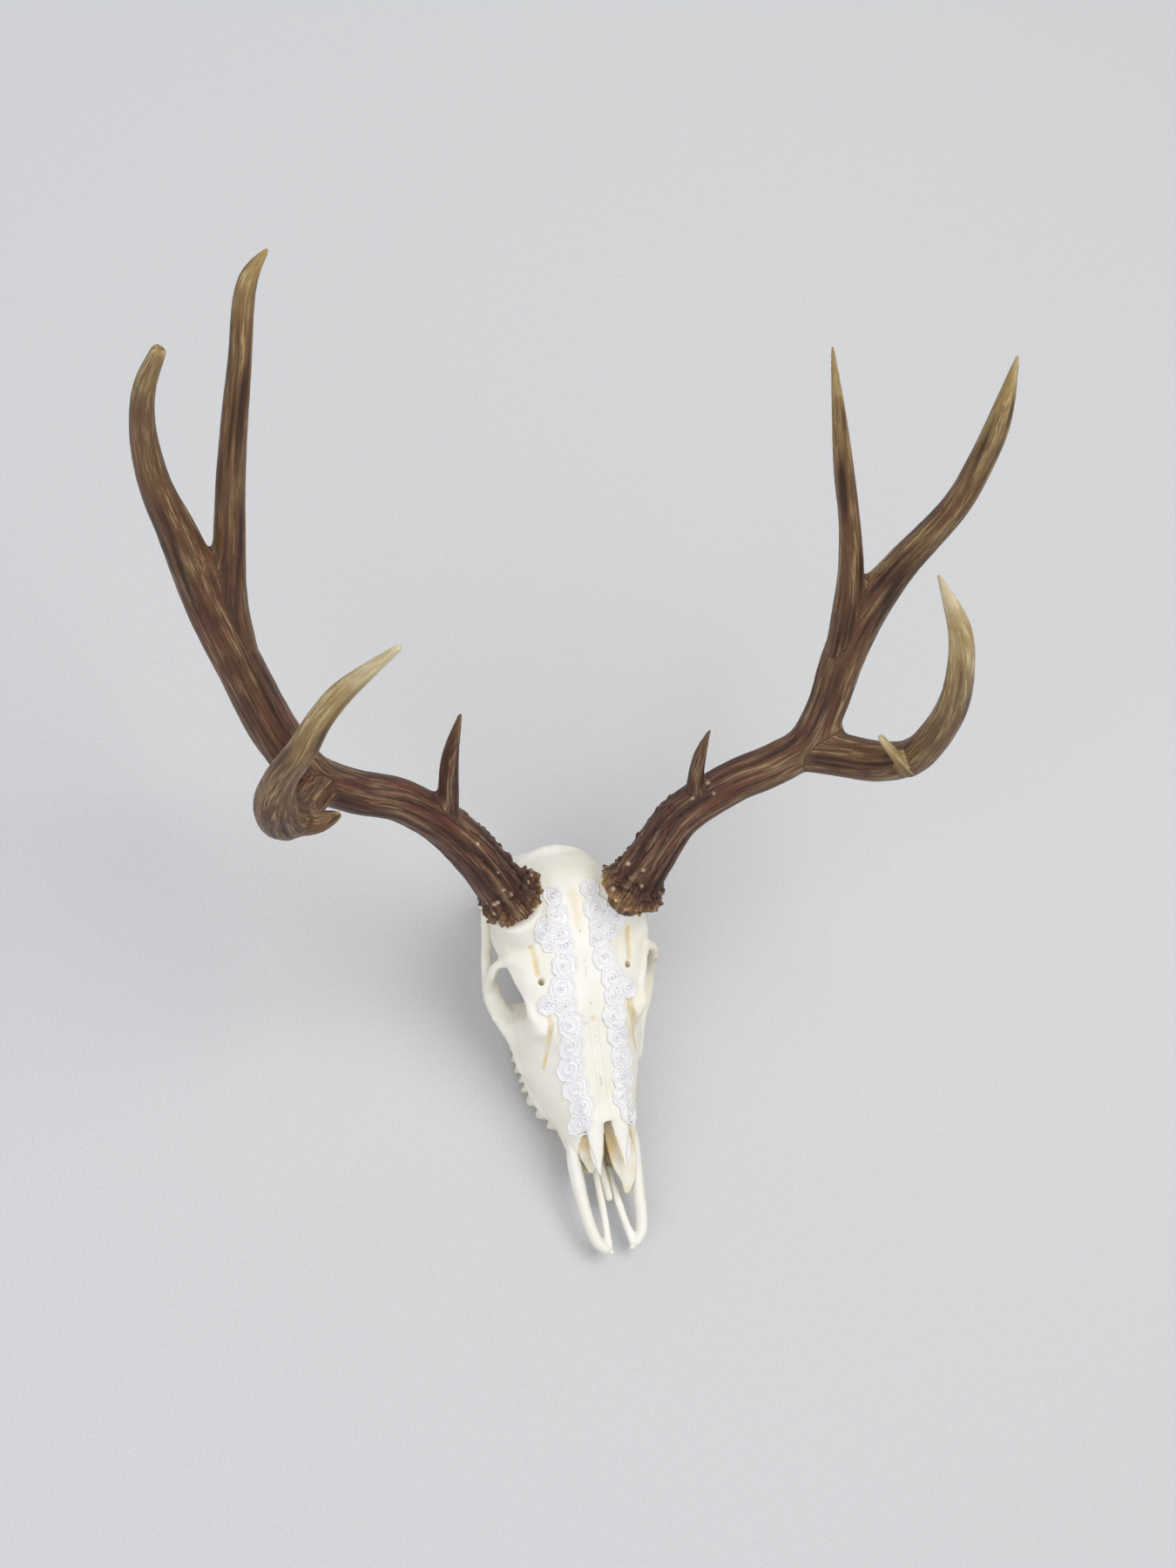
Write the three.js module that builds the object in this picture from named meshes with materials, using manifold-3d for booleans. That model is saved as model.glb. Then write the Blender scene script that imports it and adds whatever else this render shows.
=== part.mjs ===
// A mule deer skull without its lower jaw, lying on its cheek teeth and jugular processes,
// with both antlers and a strip of beaded lace on each side of the forehead and nose.
//
// Millimetres, +Z up. Sizes below are in the skull's own frame: x to the animal's left, y from the
// tip of the nose towards the nape, z above the floor that the skull lies on. The finished group is
// moved so that its origin is under the middle of its bounding box.

import * as THREE from 'three';
import { mergeVertices } from 'three/addons/utils/BufferGeometryUtils.js';
import Module from 'manifold-3d';

const wasm = await Module();
wasm.setup();

// Driving dimensions
const GAP = 0.3; // clearance between neighbouring pieces
const BONE_SIDES = 14; // facets round a skull section
const ANTLER_SIDES = 9; // facets round a beam
const TINE_SIDES = 7; // facets round a tine
const STEP = 22; // distance between rings along an antler
const LEFT = 1;
const RIGHT = -1;

const NASION_Y = 146; // where nose and forehead meet
const CORE_Y = 153; // back end of the upper jaw bones
const BRAIN_Y = 206; // front of the braincase, under the forehead
const NAPE_Y = 244; // back edge of the forehead bones
const NOSE_Y = 60; // front end of the upper jaw bones
const LACE_THICKNESS = 2.2;
const LACE_TO_BURR = 2; // how far the lace keeps from the foot of an antler
const ARCH_SKEW = 0.08; // how far the arches are set forward on the left, per length outwards
const NOSE_SQUARE = 1.9; // how boxy the sections of the nose are
const HIGH = 160; // above every bone of the head
const JOG_Z = 74; // height at which the suture behind the nose jogs back

// ---------------------------------------------------------------------------------------------
// Solids

/** Flips a closed geometry that is inside out, and joins its shared corners. */
function closed(points, triangles) {
  const geometry = new THREE.BufferGeometry();
  geometry.setAttribute('position', new THREE.Float32BufferAttribute(points, 3));
  geometry.setIndex(triangles);
  const merged = mergeVertices(geometry, 1e-4);
  const position = merged.attributes.position;
  const index = [...merged.index.array];
  const [a, b, c] = [new THREE.Vector3(), new THREE.Vector3(), new THREE.Vector3()];
  const kept = [];
  let volume = 0;
  for (let i = 0; i < index.length; i += 3) {
    const [p, q, r] = index.slice(i, i + 3);
    if (p === q || q === r || r === p) continue;
    kept.push([p, q, r]);
    a.fromBufferAttribute(position, p);
    b.fromBufferAttribute(position, q);
    c.fromBufferAttribute(position, r);
    volume += a.dot(b.cross(c));
  }
  const turned = volume < 0 ? kept.map(([p, q, r]) => [p, r, q]) : kept;
  return solid(new Float32Array(position.array), new Uint32Array(turned.flat()));
}

/** A manifold solid from corner coordinates and triangles. */
function solid(vertProperties, triVerts) {
  return new wasm.Manifold(new wasm.Mesh({ numProp: 3, vertProperties, triVerts }));
}

/** A manifold solid from a three.js geometry. */
function fromGeometry(geometry) {
  const bare = geometry.index ? geometry.toNonIndexed() : geometry.clone();
  bare.deleteAttribute('normal');
  bare.deleteAttribute('uv');
  const count = bare.attributes.position.count;
  return closed([...bare.attributes.position.array], [...Array(count).keys()]);
}

/** A solid skinned over rings of equal length, with a fan over each end ring. */
function skin(rings) {
  const sides = rings[0].length;
  const points = rings.flat().flatMap((p) => [p.x, p.y, p.z]);
  const triangles = [];
  for (let i = 0; i + 1 < rings.length; i += 1) {
    for (let j = 0; j < sides; j += 1) {
      const [a, b] = [i * sides + j, i * sides + ((j + 1) % sides)];
      triangles.push(a, b, b + sides, a, b + sides, a + sides);
    }
  }
  for (const [ring, start] of [[rings[0], 0], [rings.at(-1), (rings.length - 1) * sides]]) {
    const centre = ring.reduce((sum, p) => sum.add(p), new THREE.Vector3()).divideScalar(sides);
    const tip = points.length / 3;
    points.push(centre.x, centre.y, centre.z);
    for (let j = 0; j < sides; j += 1) {
      const [a, b] = [start + j, start + ((j + 1) % sides)];
      triangles.push(...(start === 0 ? [tip, b, a] : [tip, a, b]));
    }
  }
  return closed(points, triangles);
}

/**
 * A body lofted along y. Each section is [y, half width, low z, z where it is widest, top z],
 * with an optional centre x; grow moves the surface out, and square makes sections boxier.
 */
function loft(sections, { sides = BONE_SIDES, grow = 0, square = 2.3 } = {}) {
  const power = 2 / square;
  const rings = sections.map(([y, half, low, widest, top, x = 0], i) => {
    const end = i === 0 ? -1 : i === sections.length - 1 ? 1 : 0;
    return Array.from({ length: sides }, (_, j) => {
      const angle = (2 * Math.PI * (j + 0.5)) / sides;
      const [c, s] = [Math.cos(angle), Math.sin(angle)];
      const reach = (s > 0 ? top - widest : widest - low) + grow;
      const px = x + Math.sign(c) * Math.abs(c) ** power * (half + grow);
      const pz = widest + Math.sign(s) * Math.abs(s) ** power * reach;
      return new THREE.Vector3(px, y + end * grow, pz);
    });
  });
  return skin(rings);
}

/**
 * A round body along a smooth curve through [x, y, z, radius] points. wide stretches each ring
 * along the given direction, and grow moves the surface out.
 */
function limb(points, { sides = TINE_SIDES, grow = 0, step = STEP, wide = 1, across = null } = {}) {
  const curve = new THREE.CatmullRomCurve3(points.map(([x, y, z]) => new THREE.Vector3(x, y, z)));
  curve.curveType = 'centripetal';
  const count = Math.max(2, Math.round(curve.getLength() / step));
  const radii = new THREE.CatmullRomCurve3(points.map((p) => new THREE.Vector3(p[3], 0, 0)));
  const frames = Array.from({ length: count + 1 }, (_, i) => {
    const t = curve.getUtoTmapping(i / count);
    const ahead = curve.getTangent(t);
    const guide = across ?? new THREE.Vector3(0.31, 0.17, -0.94);
    const u = guide.clone().addScaledVector(ahead, -guide.dot(ahead)).normalize();
    const v = new THREE.Vector3().crossVectors(ahead, u);
    const r = Math.max(0.4, radii.getPoint(t).x) + grow;
    return { at: curve.getPoint(t), ahead, u, v, r };
  });
  const rings = frames.map(({ at, ahead, u, v, r }, i) => {
    const end = i === 0 ? -grow : i === count ? grow : 0;
    return Array.from({ length: sides }, (_, j) => {
      const angle = (2 * Math.PI * j) / sides;
      return at.clone().addScaledVector(ahead, end)
        .addScaledVector(u, Math.cos(angle) * r * wide)
        .addScaledVector(v, Math.sin(angle) * r);
    });
  });
  return skin(rings);
}

/** An ellipsoid at (x, y, z) with the given half sizes. */
function ball([x, y, z], [rx, ry, rz], { across = 10, down = 6 } = {}) {
  const geometry = new THREE.SphereGeometry(1, across, down);
  geometry.scale(rx, ry, rz).translate(x, y, z);
  return fromGeometry(geometry);
}

/** A box between two corners. */
function block([x0, y0, z0], [x1, y1, z1]) {
  const geometry = new THREE.BoxGeometry(x1 - x0, y1 - y0, z1 - z0);
  geometry.translate((x0 + x1) / 2, (y0 + y1) / 2, (z0 + z1) / 2);
  return fromGeometry(geometry);
}

/** A prism: an outline of [x, y] corners seen from above, between two heights. */
function prism(outline, low, high) {
  const shape = new THREE.Shape(outline.map(([x, y]) => new THREE.Vector2(x, y)));
  const geometry = new THREE.ExtrudeGeometry(shape, { depth: high - low, bevelEnabled: false });
  geometry.translate(0, 0, low);
  return fromGeometry(geometry);
}

/** The largest connected piece of a solid. */
function largest(body) {
  return body.decompose().reduce((a, b) => (a.volume() > b.volume() ? a : b));
}

/** All the given solids joined into one. */
function union(bodies) {
  return bodies.reduce((sum, body) => sum.add(body));
}

/** Points of one side of the head: x is counted outwards from the middle. */
function onSide(side, points) {
  return points.map(([x, ...rest]) => [x * side, ...rest]);
}

/** The same for the arches, which sit a little further forward on the left than on the right. */
function onArch(side, points) {
  return points.map(([x, y, ...rest]) => [x * side, y - side * ARCH_SKEW * x, ...rest]);
}

// ---------------------------------------------------------------------------------------------
// Skull

// Sections along the head: [y, half width, low, widest, top]
const MUZZLE = [
  [56, 21, 13, 26, 40], [76, 26, 11, 34, 59], [96, 30.5, 12, 35, 68], [116, 37.5, 12, 34, 77],
  [132, 42.5, 14, 36, 85], [146, 46, 22, 44, 92], [160, 43, 30, 52, 96], [173, 35, 38, 54, 84],
];
const NOSE_HOLLOW = [
  [40, 16, 17, 26, 44], [76, 20.5, 16, 28, 54.5], [96, 24, 18, 31, 62], [116, 25, 22, 36, 70],
  [134, 14, 28, 44, 74],
];
const FOREHEAD = [
  [134, 28, 56, 68, 85.5], [148, 40, 62, 75, 94], [162, 41, 70, 83, 101], [176, 44, 84, 93, 107],
  [188, 47, 89, 97, 113], [200, 52, 87, 99, 117], [212, 50, 80, 100, 121], [226, 42, 76, 100, 122.5],
  [240, 32, 74, 96, 120],
];
const CORE = [
  [140, 24, 26, 56, 84], [156, 22, 26, 60, 94], [174, 18, 24, 62, 100], [190, 19, 30, 64, 106],
  [206, 27, 38, 72, 112], [222, 33, 42, 76, 116],
];
const BRAINCASE = [
  [196, 22, 50, 74, 104], [212, 32, 44, 78, 118], [230, 36, 42, 80, 122], [246, 35.5, 41, 78, 117],
  [258, 33, 41, 74, 107], [267, 29, 42, 68, 94], [274, 22, 46, 62, 79],
];
const UP = new THREE.Vector3(0, 0, 1);

/** The nose as one solid, with sloping sides. */
function muzzle(grow = 0) {
  return loft(MUZZLE, { grow, square: NOSE_SQUARE });
}

/** A slab across the whole head whose outline, seen from the side, has the given [y, z] corners. */
function profile(outline) {
  const shape = new THREE.Shape(outline.map(([y, z]) => new THREE.Vector2(y, z)));
  const geometry = new THREE.ExtrudeGeometry(shape, { depth: 200, bevelEnabled: false });
  geometry.rotateY(Math.PI / 2).rotateX(Math.PI / 2).translate(-100, 0, 0);
  return fromGeometry(geometry);
}

/** The rim and the floor of the eye socket, its bar at the back, and the arch back to the ear. */
function cheekbone(side, grow = 0) {
  const runs = [
    [[37, 151, 84, 6.5], [41, 155, 70, 6.2], [43.5, 159, 54, 6]], // in front of the eye
    [
      [38, 132, 36, 7], [42.5, 150, 46, 6.8], [50.5, 164, 51, 5.4], [55.5, 176, 55, 4.8],
      [56.5, 186, 61, 4.6],
    ],
    [[46, 168, 52, 5], [51.5, 178, 57, 4.8], [53.5, 188, 65, 4.2]],
    [[56, 182, 59, 5], [55, 198, 66, 4.4], [51.4, 216, 71, 4.2], [46, 236, 73, 5], [38, 248, 72, 6]],
    [
      [56.5, 184, 62, 4.6], [57.4, 187, 72, 4.4], [57, 189, 82, 3.8], [55.6, 191.6, 90, 3.6],
      [47, 193, 99, 4.4],
    ],
  ];
  const floor = limb(onSide(side, [[22, 166, 50, 10], [36, 167.5, 48, 10.5], [52, 171, 53, 7]]), {
    sides: 8, grow, wide: 0.55, across: UP,
  });
  return union([floor, ...runs.map((run) => limb(onArch(side, run), { sides: 6, step: 13, grow }))]);
}

/** The edge of the eye socket's roof, the crest behind it, and the stump that carries an antler. */
function browAndPedicle(side, grow = 0) {
  const brow = limb(onArch(side, [
    [38, 155, 87, 4.5], [39.5, 166, 90.5, 3.6], [43, 177, 93.5, 3.6], [46, 188, 97, 4],
  ]), { sides: 6, grow });
  const pedicle = limb(onSide(side, [
    [29, 210, 90, 20], [32, 215, 101, 20.5], [37, 220, 114, 19.5], [41, 224.5, 125, 18.5],
  ]), { sides: 12, grow });
  const crest = limb(onSide(side, [
    [48.5, 197, 99, 5], [48.4, 207, 94, 6.2], [46.5, 215, 89, 7.6], [43, 226, 86, 8],
  ]), { sides: 6, grow });
  return union([brow, pedicle, crest]);
}

// The cheek teeth, front to back: [length, half width, distance of its middle from the midline, low]
const TEETH = [
  [9, 4.4, 23, 4], [10, 5, 27.6, 1], [11, 5.6, 30.8, 0], [14, 6.6, 32.6, 0], [16, 7, 33.4, 0],
  [16, 6.6, 33, 0],
];
const TEETH_START = 92;
const TOOTH_TOP = 30;

/** One side's cheek teeth, three premolars and three molars of two lobes, and the ridge they sit in. */
function teeth(side) {
  const cusps = [];
  let y = TEETH_START;
  TEETH.forEach(([length, half, x, low], i) => {
    const lobes = i < 3 ? 1 : 2;
    const span = length / lobes;
    for (let k = 0; k < lobes; k += 1) {
      const cusp = new THREE.CylinderGeometry(span * 0.56, span * 0.42, TOOTH_TOP - low, 6);
      cusp.rotateX(Math.PI / 2).scale(half / (span * 0.56), 1, 1);
      cusp.translate(side * x, y + span * (k + 0.5), (TOOTH_TOP + low) / 2);
      cusps.push(fromGeometry(cusp));
    }
    y += length;
  });
  const socket = limb(onSide(side, [
    [20, 93, 24, 4.5], [28, 108, 23, 7], [31, 132, 24, 9], [30, 158, 28, 8],
  ]), { sides: 8 });
  return union([...cusps, socket]);
}

/** One side of the base behind the face: condyle, jugular process, ear capsule, crest, palate wing. */
function skullBase(side) {
  const jugular = limb(onSide(side, [
    [28, 261, 60, 8], [31, 264, 38, 7], [31.5, 263, 18, 4.8], [31, 261, -2, 3.8],
  ]), { sides: 6 });
  const ear = ball([side * 24, 243, 42], [10, 13, 12]);
  const condyle = ball([side * 12.5, 270, 49], [9, 10, 12]);
  const crest = limb(onSide(side, [[3, 266, 97, 4.6], [20, 262, 91, 4.6], [32, 254, 78, 5]]), { sides: 6 });
  const shelf = limb(onSide(side, [[28, 238, 62, 10], [42, 238, 70, 6]]), { sides: 6 });
  return union([jugular, ear, condyle, crest, shelf]);
}

/** The bones of the brain's floor, and the wings behind the palate. */
function baseline() {
  const bar = loft([
    [150, 12, 26, 34, 50], [190, 11, 34, 42, 56], [230, 14, 38, 46, 64], [268, 14, 40, 50, 66],
  ], { sides: 8 });
  const wings = [RIGHT, LEFT].map((side) => limb(
    onSide(side, [[15, 146, 24, 6], [14, 164, 24, 4], [13, 182, 27, 3.6], [12, 198, 38, 5]]),
    { sides: 6, wide: 1.7, across: UP },
  ));
  return union([bar, ...wings]);
}

/** The hollows of the nose: its open front, the vault of the palate, and the throat. */
function noseHollows() {
  return union([
    loft(NOSE_HOLLOW),
    limb([[0, 50, 1, 10], [0, 110, 3, 13], [0, 176, 6, 14]], { sides: 10, step: 60 }),
    profile([[30, 18], [NOSE_Y, 22], [NOSE_Y + 6, 40], [82, 54.5], [79, 110], [30, 110]]),
    limb([[0, 76, 50, 3.2], [0, 83, 57, 2.4], [0, 88, 66, 1]], { sides: 6, step: 8, wide: 0.7 }),
  ]);
}

/** The slits in front of the eyes and the holes above them. */
function browHollows() {
  return union([RIGHT, LEFT].flatMap((side) => [
    limb(onSide(side, [
      [30.5, 160, 97, 1.4], [28.4, 149, 91, 2.4], [30.3, 142.2, 83, 2.2], [33, 127, 61, 0.9],
    ]), { sides: 6, wide: 1.6, across: UP }),
    limb(onSide(side, [[32.3, 178, 118, 2.4], [30, 176, 96, 2.4]]), { sides: 6 }),
  ]));
}

/** The hole that the spinal cord passes through. */
function brainOpening() {
  return limb([[0, 262, 54, 8.5], [0, 292, 50, 8.5]], { sides: 10, step: 40 });
}

/** The outline, seen from above, of one nasal bone. */
function nasalPlan(side, grow) {
  const outline = [
    [-grow, 50], [9 + grow, 50], [17 + grow, 84], [18 + grow, 100], [17.5 + grow, 126],
    [13 + grow, 140], [4 + grow, NASION_Y + grow], [-grow, NASION_Y + grow],
  ];
  return prism(onSide(side, outline), 46, 130);
}

/** The space that the forehead bones fill: above a slope, in front of the crown suture. */
function foreheadRegion(grow) {
  const plan = prism([
    [-90, NASION_Y + 2 * GAP - grow], [90, NASION_Y + 2 * GAP - grow], [90, NAPE_Y + grow],
    [22, NAPE_Y + grow], [0, NAPE_Y - 14 + grow], [-22, NAPE_Y + grow], [-90, NAPE_Y + grow],
  ], 0, HIGH);
  return plan.intersect(profile([[100, 64 - grow], [260, 98 - grow], [260, HIGH], [100, HIGH]]));
}

/** The two forks of bone at the tip of the nose; each holds a long opening. */
function premaxilla(side, grow = 0) {
  const outer = limb(onSide(side, [
    [11, 5, 15, 3.2], [15.5, 10, 16, 3.8], [18.4, 20, 18, 4], [20, 36, 21, 4.2], [21, 54, 26, 4.8],
    [21.5, 70, 34, 4.6], [20, 86, 45, 3],
  ]), { sides: 8, step: 13, grow, wide: 1.25, across: UP });
  const inner = limb(onSide(side, [
    [9, 6, 15, 3], [6.9, 22, 15.4, 2.5], [5.6, 40, 16, 2.5], [4.8, 58, 17, 2.4],
  ]), { sides: 6, step: 13, grow });
  const tip = limb(onSide(side, [[15.5, 10.5, 15.4, 3.6], [11, 5.6, 14.6, 4.4], [7.2, 0.6, 13.8, 1.6]]), {
    sides: 8, step: 4, grow, wide: 0.9, across: UP,
  });
  return union([outer, inner, tip]);
}

/** The pointed end of one nose bone. */
function prong(side, grow = 0) {
  const outwards = side === LEFT ? 1.5 : 0;
  const points = [
    [8.2, 92, 62.4, 7.1], [8, 85, 59.8, 6.9], [8.4, 78, 56.2, 6.4], [8.8, 70, 51.9, 5.6],
    [9.4, 60, 46.3, 4.2], [8.4, 50.5, 41, 1.4],
  ];
  return limb(onSide(side, points.map(([x, ...rest]) => [x + outwards, ...rest])), {
    sides: 8, step: 9, grow, wide: 0.42, across: UP,
  });
}

/** The plate of thin bone that shows in one half of the nose; the left one is longer. */
function turbinate(side, grow = 0) {
  const tip = side === LEFT
    ? [[11, 38.5, 26.5, 2.8], [12.4, 46, 30.2, 5.4], [11.8, 57, 35.8, 9]]
    : [[12, 57, 33, 2.5], [10.4, 63, 37, 7.6]];
  return limb(onSide(side, [...tip, [10, 71, 42, 9.4], [10.6, 84, 48.5, 10], [14.5, 98, 52, 8]]), {
    sides: 8, step: 10, grow, wide: 0.24, across: UP,
  });
}

/** The bar of bone that runs along the floor of the nose. */
function vomer(grow = 0) {
  return limb([[0, 38, 17, 2.4], [0, 60, 18, 3], [0, 90, 21, 3], [0, 138, 27, 3]], {
    sides: 8, step: 16, grow, wide: 1.6, across: UP,
  });
}

// Lace strips, seen from above: [y, distance of the middle from the midline, half width]
const LACE = [
  [80, 18, 6.5], [94, 14.5, 7.5], [107, 15.5, 8], [119, 19, 8.5], [131, 16, 7.5], [146, 15.5, 8.5],
  [162, 23, 12], [172, 18, 8.5], [182, 13.5, 8.5], [192, 14.5, 9], [205, 20, 12.5], [217, 14, 9.5],
  [227, 13, 7], [235, 12, 5],
];

/** The outline, seen from above, of one lace strip. */
function lacePlan(side) {
  const edge = (way) => new THREE.SplineCurve(
    LACE.map(([y, x, half]) => new THREE.Vector2(side * (x + way * half), y)),
  ).getPoints(2 * LACE.length).map((p) => [p.x, p.y]);
  return prism([...edge(-1), ...edge(1).reverse()], 50, 150);
}

/** The outer skin of nose, forehead and crown, moved out. */
function crownSkin(grow) {
  return union([muzzle(grow), loft(FOREHEAD, { grow }), loft(BRAINCASE, { grow })]);
}

/** All the skull's bones by name. */
function skullBones() {
  const bones = {};
  const cheeks = union([cheekbone(RIGHT, GAP), cheekbone(LEFT, GAP)]);
  const burrs = union(ANTLERS.map((antler) => burr(antler, GAP)));
  const inset = union([premaxilla(RIGHT, GAP), premaxilla(LEFT, GAP), vomer(GAP)]);
  const plates = union([turbinate(RIGHT, GAP), turbinate(LEFT, GAP)]);
  const noseSpace = profile([
    [0, -5], [CORE_Y, -5], [CORE_Y, JOG_Z], [NASION_Y, JOG_Z], [NASION_Y, HIGH], [0, HIGH],
  ]);
  const coreSpace = profile([
    [CORE_Y + GAP, -5], [BRAIN_Y - GAP, -5], [BRAIN_Y - GAP, HIGH], [NASION_Y + GAP, HIGH],
    [NASION_Y + GAP, JOG_Z + GAP], [CORE_Y + GAP, JOG_Z + GAP],
  ]);
  const brainSpace = profile([[BRAIN_Y, 0], [320, 0], [320, HIGH], [BRAIN_Y, HIGH]]); // flat on the floor
  const taken = foreheadRegion(GAP).add(cheeks);
  const nose = union([muzzle(), teeth(RIGHT), teeth(LEFT)]).intersect(noseSpace)
    .subtract(noseHollows()).subtract(browHollows()).subtract(plates).subtract(taken);
  const plans = nasalPlan(RIGHT, GAP).add(nasalPlan(LEFT, GAP));
  bones.forehead = union([loft(FOREHEAD), browAndPedicle(RIGHT), browAndPedicle(LEFT)])
    .intersect(foreheadRegion(0)).subtract(browHollows()).subtract(cheeks).subtract(burrs);
  bones.face_core = union([loft(CORE), muzzle(), baseline()]).intersect(coreSpace)
    .subtract(noseHollows()).subtract(taken);
  bones.braincase = union([loft(BRAINCASE), baseline(), skullBase(RIGHT), skullBase(LEFT)])
    .intersect(brainSpace).subtract(brainOpening()).subtract(taken);
  bones.vomer = vomer();
  for (const [side, name] of [[RIGHT, 'right'], [LEFT, 'left']]) {
    const half = block([side > 0 ? GAP / 2 : -100, -10, -10], [side > 0 ? 100 : -GAP / 2, 200, HIGH]);
    bones[`premaxilla_${name}`] = premaxilla(side).subtract(vomer(GAP)).subtract(plates);
    bones[`turbinate_${name}`] = turbinate(side);
    bones[`cheekbone_${name}`] = cheekbone(side);
    bones[`nasal_${name}`] = nose.intersect(nasalPlan(side, 0)).subtract(inset)
      .add(prong(side)).intersect(half);
    bones[`maxilla_${name}`] = nose.subtract(plans).intersect(half).subtract(inset)
      .subtract(prong(side, GAP));
  }
  return bones;
}

/** One strip of lace, lying on nose and forehead. */
function lace(side) {
  return crownSkin(GAP + LACE_THICKNESS).intersect(lacePlan(side)).subtract(crownSkin(GAP))
    .subtract(prong(side, GAP)).subtract(browAndPedicle(side, GAP))
    .subtract(union(ANTLERS.map((antler) => burr(antler, LACE_TO_BURR))));
}

// ---------------------------------------------------------------------------------------------
// Antlers. Points are [x outwards, y, z, radius].

const ANTLERS = [
  {
    name: 'left',
    side: LEFT,
    burr: [
      [36.6, 217.6, 126.4, 21], [38.2, 219.2, 128.8, 24.2], [40, 221, 131.4, 23.6], [41.6, 222.6, 134, 19.5],
    ],
    beam: [
      [39, 220, 130, 17], [55, 237, 153, 15.8], [72, 252, 174, 14.5], [105, 261, 197, 14.2],
      [131, 263, 211, 14], [154, 266, 222, 12.5],
    ],
    brow_tine: [[79, 260, 186, 6], [79, 275, 218, 4.8], [80, 283, 250, 1.4]],
    rear_stem: [
      [150, 266, 219, 11.5], [165, 287, 244, 12.6], [174, 308, 268, 14], [182, 326, 298, 15.2],
    ],
    rear_inner_tine: [
      [172, 310, 272, 8.4], [173, 325, 297, 10.4], [171.5, 344, 326, 8.8], [168, 364, 352, 7.4],
      [159, 386, 387, 6.6], [150, 404, 421, 4.9], [133, 426, 478, 1.6],
    ],
    rear_outer_tine: [
      [185, 325, 300, 13], [201, 338, 334, 10.6], [223, 352, 389, 9], [230, 363, 422, 8.5],
      [233, 374, 454, 7.4], [235, 395, 497, 1.6],
    ],
    front_beam: [
      [150, 266.5, 219, 14], [169, 254.5, 232.5, 14.4], [183, 241, 251, 13.4], [194, 231, 280, 11.8],
      [198, 232, 312, 10.8], [198, 238, 350, 9.9], [190, 247, 392, 8.5], [178, 258, 430, 7.2],
      [153, 277, 476, 1.8],
    ],
    front_spur: [
      [194, 229, 273, 6.5], [190.5, 222.5, 279, 5], [180.5, 229.5, 289, 4.3], [168, 243, 300, 2.6],
    ],
  },
  {
    name: 'right',
    side: RIGHT,
    burr: [
      [40.6, 228, 127.4, 21], [42.4, 230, 129.8, 24.6], [44.4, 232, 132.2, 24], [46.2, 234, 134.6, 19.5],
    ],
    beam: [
      [43, 228, 130, 17], [68, 257, 161, 15.8], [90, 274, 184, 14.6], [119, 287, 208, 14.2],
      [149, 293.5, 221, 14.4], [171, 300, 232, 12.8],
    ],
    brow_tine: [[86, 276, 190, 7.5], [85, 301, 227, 6], [80, 318, 264, 1.5]],
    rear_stem: [
      [172, 298, 232, 12.5], [194, 325, 260, 15.2], [214, 359, 300, 14.6], [227, 387, 333, 16],
    ],
    rear_inner_tine: [
      [213, 362, 305, 10], [217, 385, 333, 11.2], [214.5, 413, 372, 9.8], [211.5, 435, 400, 8.8],
      [204, 472, 461, 7], [198, 497, 507, 5.6], [187, 504, 526, 1.4],
    ],
    rear_outer_tine: [
      [228, 387, 332, 13], [246, 415, 381, 11.6], [257, 430, 413, 9.6], [263, 444, 451, 8.2],
      [263, 450, 491, 6.8], [257, 452, 526, 4.4],
    ],
    front_beam: [
      [171, 301, 233, 13.8], [190, 283, 248, 15.2], [203, 271, 268, 15.4], [212.5, 269, 298, 13.4],
      [212.5, 272, 335, 10.2], [204, 274, 376, 8.8], [196.5, 279, 407, 7.5], [187.5, 282, 433, 6.3],
      [161.5, 284, 484, 2.4],
    ],
    front_spur: [
      [200, 271, 258, 10], [184, 266, 261, 7.8], [175, 266, 263.5, 5.2], [168, 267, 265, 2.2],
    ],
  },
];
const BEAMS = ['beam', 'rear_stem', 'front_beam'];
// Each piece and the pieces that it grows from
const BRANCHES = [
  ['beam', 'burr'], ['brow_tine', 'beam'], ['front_beam', 'beam'], ['front_spur', 'front_beam'],
  ['rear_stem', 'beam', 'front_beam'], ['rear_outer_tine', 'rear_stem'],
  ['rear_inner_tine', 'rear_stem', 'rear_outer_tine'],
];

/** The knobbly ring at the foot of an antler. */
function burr(antler, grow = 0) {
  return limb(onSide(antler.side, antler.burr), { sides: 14, step: 3.2, grow });
}

/** All the pieces of one antler by name: each starts where the one it grows from is cut away. */
function antlerPieces(antler) {
  const shape = (key, grow = 0) => limb(onSide(antler.side, antler[key]), {
    sides: BEAMS.includes(key) ? ANTLER_SIDES : TINE_SIDES, grow,
  });
  const pieces = { burr: burr(antler) };
  for (const [key, ...parents] of BRANCHES) {
    const body = parents.reduce(
      (rest, parent) => rest.subtract(parent === 'burr' ? burr(antler, GAP) : shape(parent, GAP)),
      shape(key),
    );
    pieces[key] = body;
  }
  return pieces;
}

// ---------------------------------------------------------------------------------------------
// The scene graph

const FINISHES = {
  bone: { color: 0xeeeada, roughness: 0.55 },
  antler: { color: 0x4a3222, roughness: 0.5 },
  lace: { color: 0xf4f2f8, roughness: 0.6 },
};

/** A named mesh of a solid, with a material of its own in one of the finishes. */
function mesh(name, body, finish) {
  const { vertProperties, triVerts } = largest(body).getMesh();
  const geometry = new THREE.BufferGeometry();
  geometry.setAttribute('position', new THREE.BufferAttribute(vertProperties, 3));
  geometry.setIndex(new THREE.BufferAttribute(triVerts, 1));
  geometry.computeVertexNormals();
  const material = new THREE.MeshStandardMaterial({ ...FINISHES[finish], metalness: 0 });
  const result = new THREE.Mesh(geometry, material);
  result.name = name;
  return result;
}

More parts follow.
